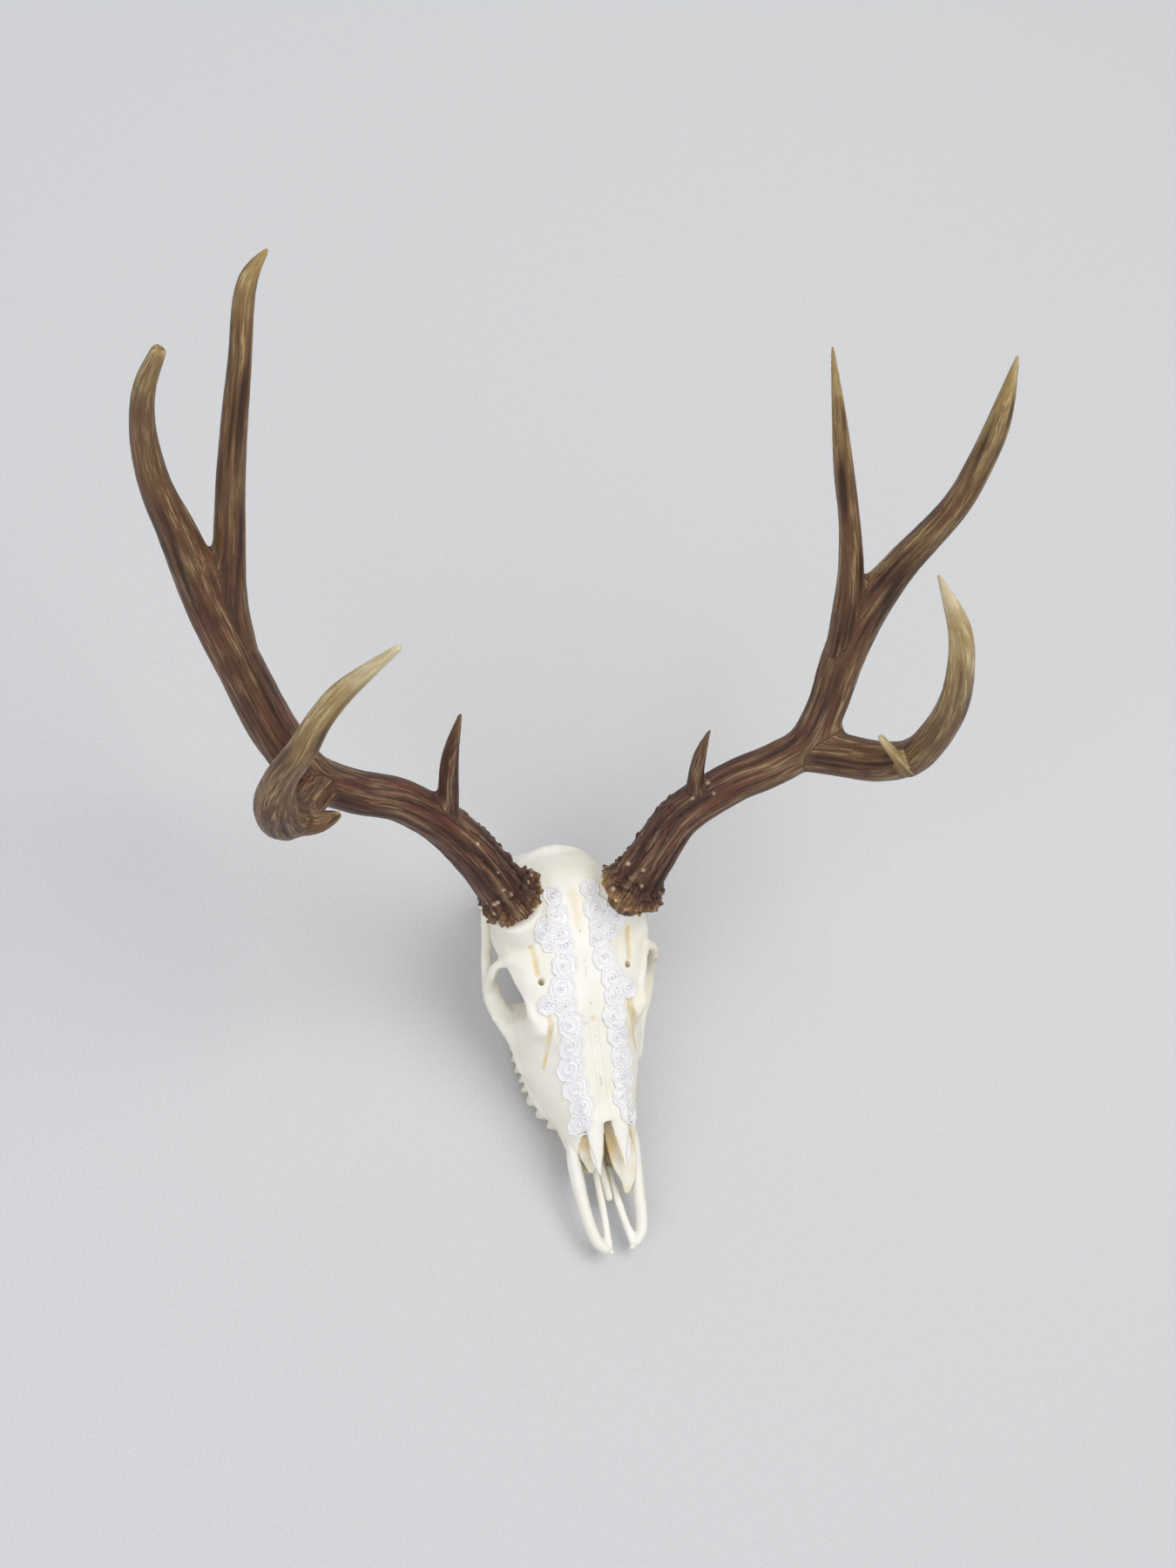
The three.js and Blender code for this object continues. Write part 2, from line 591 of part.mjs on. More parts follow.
/** The whole part, with its origin under the middle of its bounding box. */
function buildSkull() {
  const group = new THREE.Group();
  group.name = 'deer_skull';
  for (const [name, body] of Object.entries(skullBones())) group.add(mesh(name, body, 'bone'));
  for (const antler of ANTLERS) {
    for (const [key, body] of Object.entries(antlerPieces(antler))) {
      group.add(mesh(`antler_${antler.name}_${key}`, body, 'antler'));
    }
  }
  group.add(mesh('lace_right', lace(RIGHT), 'lace'), mesh('lace_left', lace(LEFT), 'lace'));
  const box = new THREE.Box3().setFromObject(group);
  const centre = box.getCenter(new THREE.Vector3());
  for (const child of group.children) child.geometry.translate(-centre.x, -centre.y, -box.min.z);
  return group;
}

export default buildSkull();
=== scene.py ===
"""A mule deer skull without its lower jaw, lying on its cheek teeth, with both antlers and a strip
of beaded lace on each side of its face.

The sizes in the classes are millimetres in the skull's own frame: x to the animal's left, y from
the tip of the nose towards the nape, z above the floor. Every finished mesh is moved into the
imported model's frame, in metres, before it becomes a piece.
"""

import logging
import math
import random
from collections.abc import Callable, Iterable, Sequence
from dataclasses import dataclass, field
from enum import Enum

import bmesh
import bpy
import numpy as np
from mathutils import Matrix, Vector, noise
from mathutils.bvhtree import BVHTree
from mathutils.kdtree import KDTree


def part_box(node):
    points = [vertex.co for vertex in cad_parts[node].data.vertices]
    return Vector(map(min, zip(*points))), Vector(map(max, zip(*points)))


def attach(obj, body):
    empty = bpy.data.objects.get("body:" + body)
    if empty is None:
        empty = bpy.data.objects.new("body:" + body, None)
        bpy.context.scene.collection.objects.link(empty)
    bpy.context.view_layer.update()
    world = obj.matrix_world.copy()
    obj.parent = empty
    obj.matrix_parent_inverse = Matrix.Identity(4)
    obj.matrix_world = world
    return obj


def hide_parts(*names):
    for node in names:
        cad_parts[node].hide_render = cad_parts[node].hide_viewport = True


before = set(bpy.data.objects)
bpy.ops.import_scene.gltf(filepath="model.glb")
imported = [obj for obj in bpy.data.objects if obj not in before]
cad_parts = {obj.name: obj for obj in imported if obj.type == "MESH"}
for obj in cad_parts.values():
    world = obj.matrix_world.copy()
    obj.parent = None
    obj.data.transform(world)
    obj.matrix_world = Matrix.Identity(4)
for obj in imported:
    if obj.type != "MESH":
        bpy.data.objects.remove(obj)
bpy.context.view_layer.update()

LOG = logging.getLogger("deer_skull")

Point = tuple[float, ...]
Colour = tuple[float, float, float]
Spot = tuple[float, float]  # a place in plan

UP = np.array([0.0, 0.0, 1.0])
OFF_AXIS = np.array([0.31, 0.17, -0.94])  # a direction that no limb runs along
CURVE_STEPS = 24  # between two points of a smooth curve
DOME = ((-0.9, 0.44), (-0.6, 0.8))  # a tube's round end: reach and size of its rings, in radii
THINNEST = 0.3  # the least radius of a tube
ARCH_SKEW = 0.08  # how far the arches are set forward on the left, per length outwards
VOMER_TIP_Y = 38.0  # where the bar in the nose starts, which fixes the skull's own frame
ABOVE_Z = 400.0  # a height above all the bone
NO_SEAM = 20.0  # a distance from a suture at which nothing of it shows


class Side(Enum):
    """The two sides of the head, with the sign of x on each."""

    LEFT = 1
    RIGHT = -1

    @property
    def label(self) -> str:
        """The word for the side in a piece's name."""
        return self.name.lower()


# ------------------------------------------------------------------------------------------------
# Curves


def smooth_path(points: Sequence[Point], step: float, measure: int = 3) -> np.ndarray:
    """Runs a smooth curve through points and samples it at equal distances.

    Args:
        points: Rows of numbers that all vary smoothly along the curve.
        step: The distance between samples.
        measure: How many of the first columns the distance is measured in.

    Returns:
        The samples, one row each, with the columns of the points.
    """
    given = np.asarray(points, float)
    ends = np.vstack([2 * given[0] - given[1], given, 2 * given[-1] - given[-2]])
    dense = []
    for i in range(1, len(ends) - 2):
        p0, p1, p2, p3 = ends[i - 1 : i + 3]
        d0, d1, d2 = (
            max(1e-4, float(np.linalg.norm((b - a)[:measure])) ** 0.5)
            for a, b in ((p0, p1), (p1, p2), (p2, p3))
        )
        start = ((p1 - p0) / d0 - (p2 - p0) / (d0 + d1) + (p2 - p1) / d1) * d1
        end = ((p2 - p1) / d1 - (p3 - p1) / (d1 + d2) + (p3 - p2) / d2) * d1
        t = np.linspace(0, 1, CURVE_STEPS, endpoint=False)[:, None]
        dense.append(
            (2 * t**3 - 3 * t**2 + 1) * p1
            + (t**3 - 2 * t**2 + t) * start
            + (3 * t**2 - 2 * t**3) * p2
            + (t**3 - t**2) * end
        )
    dense.append(ends[-2][None, :])
    curve = np.vstack(dense)
    steps = np.linalg.norm(np.diff(curve[:, :measure], axis=0), axis=1)
    run = np.concatenate([[0.0], np.cumsum(steps)])
    count = max(2, round(run[-1] / step))
    at = np.linspace(0, run[-1], count + 1)
    return np.stack([np.interp(at, run, curve[:, k]) for k in range(curve.shape[1])], axis=1)


def frames_along(path: np.ndarray, across: np.ndarray | None = None) -> tuple[np.ndarray, ...]:
    """Directions at each point of a path that turn as little as they can.

    Args:
        path: The points, in the first three columns.
        across: A direction that the first cross axis stays nearest to, if given.

    Returns:
        The directions ahead and the two cross axes, one row for each point.
    """
    ahead = np.gradient(path[:, :3], axis=0)
    ahead /= np.linalg.norm(ahead, axis=1)[:, None]
    guide = OFF_AXIS if across is None else across
    first = np.empty_like(ahead)
    for i, forward in enumerate(ahead):
        source = guide if across is not None or i == 0 else first[i - 1]
        side = source - forward * float(source @ forward)
        first[i] = side / np.linalg.norm(side)
    return ahead, first, np.cross(ahead, first)


def distance_to(points: np.ndarray, path: Sequence[Point]) -> np.ndarray:
    """How far each point is from a line of straight runs.

    Args:
        points: The points, one row each.
        path: The corners of the line.

    Returns:
        One distance for each point.
    """
    corners = np.asarray(path, float)[:, :3]
    best = np.full(len(points), np.inf)
    for a, b in zip(corners[:-1], corners[1:]):
        run = b - a
        t = np.clip((points - a) @ run / max(1e-9, float(run @ run)), 0, 1)
        best = np.minimum(best, np.linalg.norm(points - a - t[:, None] * run, axis=1))
    return best


def on_side(side: Side, points: Sequence[Point]) -> list[Point]:
    """Sets points out on one side of the head.

    Args:
        side: The side.
        points: Rows whose x is counted outwards from the middle.

    Returns:
        The rows, with x to the animal's left.
    """
    return [(p[0] * side.value, *p[1:]) for p in points]


def on_arch(side: Side, points: Sequence[Point]) -> list[Point]:
    """As on_side, for the arches, which sit a little further forward on the left.

    Args:
        side: The side.
        points: Rows whose x is counted outwards from the middle.

    Returns:
        The rows, with x to the animal's left.
    """
    return [(p[0] * side.value, p[1] - side.value * ARCH_SKEW * p[0], *p[2:]) for p in points]


def falloff(distance: np.ndarray, reach: float) -> np.ndarray:
    """A soft mask that is 1 at no distance and 0 from reach on.

    Args:
        distance: The distances.
        reach: How far the mask reaches.

    Returns:
        One value for each distance.
    """
    t = np.clip(1 - distance / reach, 0, 1)
    return t * t * (3 - 2 * t)


def tree_of(points: Sequence[Sequence[float]]) -> KDTree:
    """A search tree of points, which finds them by their place in the sequence."""
    tree = KDTree(max(1, len(points)))
    for i, point in enumerate(points):
        tree.insert(point, i)
    tree.balance()
    return tree


def rough_noise(points: np.ndarray, scale: Sequence[float]) -> np.ndarray:
    """Smooth noise from about -1 to 1 at each point.

    Args:
        points: The points, one row each.
        scale: The size of the noise's lumps along each axis.

    Returns:
        One value for each point.
    """
    scaled = points / np.asarray(scale, float)
    return np.array([noise.noise(Vector(p)) for p in scaled.tolist()])


# ------------------------------------------------------------------------------------------------
# Shapes


class Form:
    """A shape in the making, in millimetres: closed bodies that a remesh later fuses into one."""

    def __init__(self) -> None:
        self.bm = bmesh.new()

    def sweep(self, rings: Sequence[np.ndarray]) -> None:
        """Extrudes a circle from ring to ring and closes both ends.

        Args:
            rings: The rings' corners, an equal count in each.
        """
        made = bmesh.ops.create_circle(self.bm, cap_ends=False, radius=1.0, segments=len(rings[0]))
        ring = self._in_order(made["verts"])
        first = ring
        for vert, place in zip(ring, rings[0]):
            vert.co = place
        edges = [e for e in ring[0].link_edges] + [e for v in ring for e in v.link_edges]
        edges = list(dict.fromkeys(edges))
        for places in rings[1:]:
            grown = bmesh.ops.extrude_edge_only(self.bm, edges=edges)["geom"]
            edges = [g for g in grown if isinstance(g, bmesh.types.BMEdge)]
            fresh = {g for g in grown if isinstance(g, bmesh.types.BMVert)}
            ring = [next(e.other_vert(v) for e in v.link_edges if e.other_vert(v) in fresh) for v in ring]
            for vert, place in zip(ring, places):
                vert.co = place
        for cap in (first, ring):
            bmesh.ops.contextual_create(self.bm, geom=cap)

    @staticmethod
    def _in_order(verts: Sequence[bmesh.types.BMVert]) -> list[bmesh.types.BMVert]:
        """The corners of a circle in their order round it."""
        return sorted(verts, key=lambda v: math.atan2(v.co.y, v.co.x) % math.tau)

    def tube(
        self,
        points: Sequence[Point],
        sides: int = 20,
        step: float = 2.5,
        wide: float = 1.0,
        across: np.ndarray | None = None,
        round_ends: bool = True,
        inset: bool = False,
    ) -> None:
        """Adds a round body along a curve.

        Args:
            points: The curve's points: x, y, z and radius.
            sides: The corners of each ring.
            step: The distance between rings.
            wide: How far each ring is stretched along its first cross axis.
            across: A direction for that axis.
            round_ends: Whether the ends are domes.
            inset: Whether the domes end where the curve does, not past it.
        """
        path = smooth_path(points, step)
        ahead, first, second = frames_along(path, across)
        angles = np.arange(sides) * (math.tau / sides)
        rings = []
        domes = DOME if round_ends else ()
        stations = [(0, reach, size) for reach, size in domes]
        stations += [(i, 0.0, 1.0) for i in range(len(path))]
        stations += [(len(path) - 1, -reach, size) for reach, size in reversed(domes)]
        for i, reach, size in stations:
            radius = max(THINNEST, path[i, 3])
            shift = (reach + DOME[0][0] * np.sign(reach)) if inset else reach
            centre = path[i, :3] + ahead[i] * shift * radius
            round_u = np.outer(np.cos(angles) * radius * size * wide, first[i])
            rings.append(centre + round_u + np.outer(np.sin(angles) * radius * size, second[i]))
        self.sweep(rings)

    def loft(
        self, sections: Sequence[Point], square: float = 2.3, sides: int = 64, step: float = 3.0
    ) -> None:
        """Adds a body along y from sections that are symmetric from side to side.

        Args:
            sections: y, half width, low z, z where it is widest, and top z of each section.
            square: How boxy the sections are; 2 is an ellipse.
            sides: The corners of each ring.
            step: The distance between rings.
        """
        angles = (np.arange(sides) + 0.5) * (math.tau / sides)
        cos, sin = np.cos(angles), np.sin(angles)
        power = 2 / square
        rings = []
        for y, half, low, widest, top in smooth_path(sections, step, measure=1):
            reach = np.where(sin > 0, top - widest, widest - low)
            x = np.sign(cos) * np.abs(cos) ** power * half
            z = widest + np.sign(sin) * np.abs(sin) ** power * reach
            rings.append(np.stack([x, np.full(sides, y), z], axis=1))
        self.sweep(rings)

    def ball(
        self, centre: Point, half_sizes: Point, turn: Matrix | None = None, detail: int = 3
    ) -> None:
        """Adds an ellipsoid.

        Args:
            centre: Its middle.
            half_sizes: Its half sizes along x, y and z.
            turn: A rotation about its middle.
            detail: How often an icosahedron is divided.
        """
        place = Matrix.Translation(centre) @ (turn or Matrix()) @ Matrix.Diagonal((*half_sizes, 1.0))
        bmesh.ops.create_icosphere(self.bm, subdivisions=detail, radius=1.0, matrix=place)

    def block(self, low: Point, high: Point, slope: float = 0.0) -> None:
        """Adds a box between two corners.

        Args:
            low: The lowest corner.
            high: The highest corner.
            slope: How far the box's front leans back over its height.
        """
        size = Vector(high) - Vector(low)
        place = Matrix.Translation((Vector(low) + Vector(high)) / 2) @ Matrix.Diagonal((*size, 1.0))
        made = bmesh.ops.create_cube(self.bm, size=1.0, matrix=place)
        for vert in made["verts"]:
            vert.co.y += slope * (vert.co.z - low[2]) / size.z

    def to_mesh(self, name: str) -> bpy.types.Mesh:
        """Ends the making: points all faces outwards and gives the mesh."""
        bmesh.ops.recalc_face_normals(self.bm, faces=self.bm.faces)
        mesh = bpy.data.meshes.new(name)
        self.bm.to_mesh(mesh)
        self.bm.free()
        return mesh


def modified(mesh: bpy.types.Mesh, add: Callable[[bpy.types.Object], None]) -> bpy.types.Mesh:
    """Applies modifiers to a mesh.

    Args:
        mesh: The mesh to start from, which is removed.
        add: Puts the modifiers on the object that it is given.

    Returns:
        The new mesh.
    """
    carrier = bpy.data.objects.new("carrier", mesh)
    bpy.context.scene.collection.objects.link(carrier)
    add(carrier)
    graph = bpy.context.evaluated_depsgraph_get()
    result = bpy.data.meshes.new_from_object(carrier.evaluated_get(graph), depsgraph=graph)
    bpy.data.objects.remove(carrier)
    bpy.data.meshes.remove(mesh)
    return result


def fused(mesh: bpy.types.Mesh, cell: float, smooth: int) -> bpy.types.Mesh:
    """Makes one skin of closed bodies that overlap.

    Args:
        mesh: The bodies.
        cell: The size of the new faces.
        smooth: How often the corners are evened out.

    Returns:
        The skin.
    """

    def add(carrier: bpy.types.Object) -> None:
        """Remeshes, then smooths."""
        remesh = carrier.modifiers.new("fuse", "REMESH")
        remesh.mode = "VOXEL"
        remesh.voxel_size = cell
        if smooth:
            even = carrier.modifiers.new("even", "SMOOTH")
            even.factor = 0.5
            even.iterations = smooth

    return modified(mesh, add)


def carved(body: bpy.types.Mesh, tool: bpy.types.Mesh) -> bpy.types.Mesh:
    """Cuts one closed mesh away from another.

    Args:
        body: The mesh that is cut, which is removed.
        tool: The mesh that cuts, which is removed.

    Returns:
        What is left.
    """
    cutter = bpy.data.objects.new("cutter", tool)
    bpy.context.scene.collection.objects.link(cutter)

    def add(carrier: bpy.types.Object) -> None:
        """Takes the cutter away."""
        cut = carrier.modifiers.new("carve", "BOOLEAN")
        cut.operation = "DIFFERENCE"
        cut.solver = "MANIFOLD"
        cut.object = cutter

    result = modified(body, add)
    bpy.data.objects.remove(cutter)
    bpy.data.meshes.remove(tool)
    return result


class Surface:
    """The corners and directions of a mesh as arrays, for moving and marking them."""

    def __init__(self, mesh: bpy.types.Mesh) -> None:
        self.mesh = mesh
        count = len(mesh.vertices)
        self.points = np.empty(count * 3)
        mesh.vertices.foreach_get("co", self.points)
        self.points = self.points.reshape(-1, 3)
        self.normals = np.empty(count * 3)
        mesh.vertex_normals.foreach_get("vector", self.normals)
        self.normals = self.normals.reshape(-1, 3)

    def push(self, amount: np.ndarray) -> None:
        """Moves each corner outwards by its amount."""
        self.points = self.points + self.normals * amount[:, None]
        self.mesh.vertices.foreach_set("co", self.points.ravel())
        self.mesh.update()

    def mark(self, name: str, values: np.ndarray) -> None:
        """Keeps one number, or three, for each corner, under a name that a finish reads."""
        kind, key = ("FLOAT_VECTOR", "vector") if values.ndim == 2 else ("FLOAT", "value")
        layer = self.mesh.attributes.new(name, kind, "POINT")
        layer.data.foreach_set(key, np.ascontiguousarray(values, np.float32).ravel())


def row_matrix() -> Matrix:
    """The move from the skull's own frame, in millimetres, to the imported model's, in metres."""
    low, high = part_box("vomer")
    shift = Vector(((low[0] + high[0]) / 2, low[1] - VOMER_TIP_Y / 1000, 0.0))
    return Matrix.Translation(shift) @ Matrix.Scale(0.001, 4)


def piece(
    mesh: bpy.types.Mesh,
    name: str,
    finish: bpy.types.Material,
    stands_for: Iterable[str] = (),
) -> bpy.types.Object:
    """Makes a finished piece of a mesh.

    Args:
        mesh: The mesh, in the skull's own frame.
        name: The piece's name.
        finish: Its material.
        stands_for: The nodes that it replaces.

    Returns:
        The piece, which rides on the part's one body.
    """
    mesh.transform(row_matrix())
    mesh.name = name
    mesh.materials.clear()
    mesh.materials.append(finish)
    mesh.shade_smooth()
    obj = bpy.data.objects.new(name, mesh)
    bpy.context.scene.collection.objects.link(obj)
    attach(obj, "root")
    names = list(stands_for)
    if names:
        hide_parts(*names)
    LOG.info("%s: %d faces", name, len(mesh.polygons))
    return obj


# ------------------------------------------------------------------------------------------------
# Finishes


class Recipe:
    """A material's nodes, added one after the other."""

    def __init__(self, name: str) -> None:
        self.material = bpy.data.materials.new(name)
        self.material.use_nodes = True
        self.tree = self.material.node_tree
        self.shader = self.tree.nodes["Principled BSDF"]
        self.places = self.add("ShaderNodeTexCoord").outputs["Object"]

    def add(self, kind: str, **settings: object) -> bpy.types.Node:
        """Adds a node.

        Args:
            kind: The node's type.
            **settings: Its properties.

        Returns:
            The node.
        """
        node = self.tree.nodes.new(kind)
        for key, value in settings.items():
            setattr(node, key, value)
        return node

    def feed(self, node: bpy.types.Node, socket: str | int, value: object) -> None:
        """Gives a socket a link or a value.

        Args:
            node: The node that is fed.
            socket: The name or number of its input.
            value: Another node's output, or what the input is set to.
        """
        if isinstance(value, bpy.types.NodeSocket):
            self.tree.links.new(value, node.inputs[socket])
        else:
            node.inputs[socket].default_value = value

    def attribute(self, name: str) -> bpy.types.Node:
        """Reads what a mesh keeps for each corner under a name."""
        return self.add("ShaderNodeAttribute", attribute_name=name)

    def stretched(self, vector: bpy.types.NodeSocket, scale: Point) -> bpy.types.NodeSocket:
        """A vector scaled along each axis."""
        node = self.add("ShaderNodeMapping")
        self.feed(node, "Vector", vector)
        node.inputs["Scale"].default_value = scale
        return node.outputs[0]

    def noise(
        self,
        scale: float,
        detail: float = 3.0,
        rough: float = 0.55,
        vector: bpy.types.NodeSocket | None = None,
    ) -> bpy.types.NodeSocket:
        """Cloudy noise from about 0.2 to 0.8.

        Args:
            scale: Lumps per metre, or per unit of the vector.
            detail: How many finer layers lie on them.
            rough: How strong the finer layers are.
            vector: Where it is read; the places on the object if not given.

        Returns:
            The noise.
        """
        node = self.add("ShaderNodeTexNoise")
        self.feed(node, "Vector", vector or self.places)
        node.inputs["Scale"].default_value = scale
        node.inputs["Detail"].default_value = detail
        node.inputs["Roughness"].default_value = rough
        return node.outputs["Fac"]

    def cells(self, scale: float) -> bpy.types.NodeSocket:
        """The distance to the nearest of many scattered dots."""
        node = self.add("ShaderNodeTexVoronoi")
        self.feed(node, "Vector", self.places)
        node.inputs["Scale"].default_value = scale
        return node.outputs["Distance"]

    def fit(
        self, value: bpy.types.NodeSocket, low: float, high: float, out: Point = (0.0, 1.0)
    ) -> bpy.types.NodeSocket:
        """Maps a range smoothly to another and holds it there.

        Args:
            value: What is mapped.
            low: The start of its range.
            high: The end of its range.
            out: The range that it is mapped to.

        Returns:
            The mapped value.
        """
        node = self.add("ShaderNodeMapRange", interpolation_type="SMOOTHSTEP")
        self.feed(node, "Value", value)
        for key, number in (("From Min", low), ("From Max", high), ("To Min", out[0]), ("To Max", out[1])):
            node.inputs[key].default_value = number
        return node.outputs[0]

    def maths(self, operation: str, a: object, b: object = 0.0, c: object = 0.0) -> bpy.types.NodeSocket:
        """One step of arithmetic."""
        node = self.add("ShaderNodeMath", operation=operation)
        for i, value in enumerate((a, b, c)):
            self.feed(node, i, value)
        return node.outputs[0]

    def mix(self, share: object, a: object, b: object) -> bpy.types.NodeSocket:
        """Mixes two colours."""
        node = self.add("ShaderNodeMix", data_type="RGBA")
        self.feed(node, 0, share)
        for socket, value in ((6, a), (7, b)):
            self.feed(node, socket, (*value, 1.0) if isinstance(value, tuple) else value)
        return node.outputs[2]

    def ramp(
        self, value: bpy.types.NodeSocket, stops: Sequence[tuple[float, Colour]]
    ) -> bpy.types.NodeSocket:
        """Colours a value by stops."""
        node = self.add("ShaderNodeValToRGB")
        self.feed(node, 0, value)
        elements = node.color_ramp.elements
        while len(elements) < len(stops):
            elements.new(0.5)
        for element, (position, colour) in zip(elements, stops):
            element.position = position
            element.color = (*colour, 1.0)
        return node.outputs[0]

    def bump(
        self, height: bpy.types.NodeSocket, deep: float, under: bpy.types.NodeSocket | None = None
    ) -> bpy.types.NodeSocket:
        """Relief of a height in metres.

        Args:
            height: The pattern, about 0 to 1.
            deep: How many metres the whole of it stands for.
            under: A bump that this one lies on.

        Returns:
            The normal.
        """
        node = self.add("ShaderNodeBump")
        node.inputs["Strength"].default_value = 1.0
        node.inputs["Distance"].default_value = deep
        self.feed(node, "Height", height)
        if under is not None:
            self.feed(node, "Normal", under)
        return node.outputs[0]

    def finish(self, **sockets: object) -> bpy.types.Material:
        """Sets the shader's sockets and gives the material."""
        for key, value in sockets.items():
            name = key.replace("_", " ").title().replace("Ior", "IOR")
            colour = self.shader.inputs[name].type == "RGBA" and isinstance(value, tuple)
            self.feed(self.shader, name, (*value, 1.0) if colour else value)
        return self.material


@dataclass(frozen=True)
class BoneFinish:
    """Cleaned bone: warm white, ivory in patches, ochre where grease stayed, with fine pores."""

    white: Colour = (0.90, 0.885, 0.83)
    ivory: Colour = (0.84, 0.815, 0.69)
    ochre: Colour = (0.72, 0.53, 0.22)
    blush: Colour = (0.66, 0.46, 0.36)
    suture: Colour = (0.55, 0.47, 0.30)
    roughness: float = 0.52

    def build(self) -> bpy.types.Material:
        """Makes the material; it reads the marks stain, blush and seam of the bones' skins."""
        r = Recipe("bone")
        clouds = r.noise(22.0, detail=4.0)
        colour = r.mix(r.fit(clouds, 0.38, 0.68), self.white, self.ivory)
        fine = r.noise(160.0, detail=3.0)
        colour = r.mix(r.fit(fine, 0.55, 0.8, (0.0, 0.25)), colour, self.ivory)
        stain = r.attribute("stain").outputs["Fac"]
        uneven = r.maths("MULTIPLY", stain, r.fit(r.noise(90.0), 0.3, 0.6, (0.55, 1.0)))
        colour = r.mix(uneven, colour, self.ochre)
        colour = r.mix(r.attribute("blush").outputs["Fac"], colour, self.blush)
        wander = r.maths("MULTIPLY_ADD", r.noise(420.0, detail=2.0), 2.4, -1.2)
        seam = r.maths("ABSOLUTE", r.maths("ADD", r.attribute("seam").outputs["Fac"], wander))
        line = r.fit(seam, 0.12, 0.42, (1.0, 0.0))
        colour = r.mix(r.maths("MULTIPLY", line, 0.5), colour, self.suture)
        pores = r.fit(r.cells(900.0), 0.05, 0.3)
        normal = r.bump(r.noise(55.0, detail=5.0), 0.0006)
        normal = r.bump(pores, 0.00006, normal)
        normal = r.bump(r.maths("SUBTRACT", 1.0, line), 0.00025, normal)
        rough = r.fit(r.noise(60.0), 0.3, 0.7, (self.roughness - 0.08, self.roughness + 0.1))
        return r.finish(
            base_color=colour, roughness=rough, normal=normal, specular_ior_level=0.38,
            subsurface_weight=0.06, subsurface_radius=(0.004, 0.0025, 0.0015), subsurface_scale=0.5,
        )


@dataclass(frozen=True)
class ToothFinish:
    """Worn enamel: cream, browner on the faces turned down and towards the lowest part."""

    cream: Colour = (0.86, 0.82, 0.70)
    underside_brown: Colour = (0.42, 0.30, 0.18)
    root: Colour = (0.80, 0.72, 0.56)

    def build(self) -> bpy.types.Material:
        """Makes the material; it reads the teeth's mark of how brown each corner is."""
        r = Recipe("tooth")
        streaks = r.noise(1.0, detail=3.0, vector=r.stretched(r.places, (500.0, 500.0, 60.0)))
        colour = r.mix(r.fit(streaks, 0.4, 0.75), self.cream, self.root)
        colour = r.mix(r.attribute("underside_brown").outputs["Fac"], colour, self.underside_brown)
        normal = r.bump(streaks, 0.00012)
        return r.finish(
            base_color=colour, roughness=0.3, normal=normal, specular_ior_level=0.5,
            coat_weight=0.25, coat_roughness=0.2,
        )


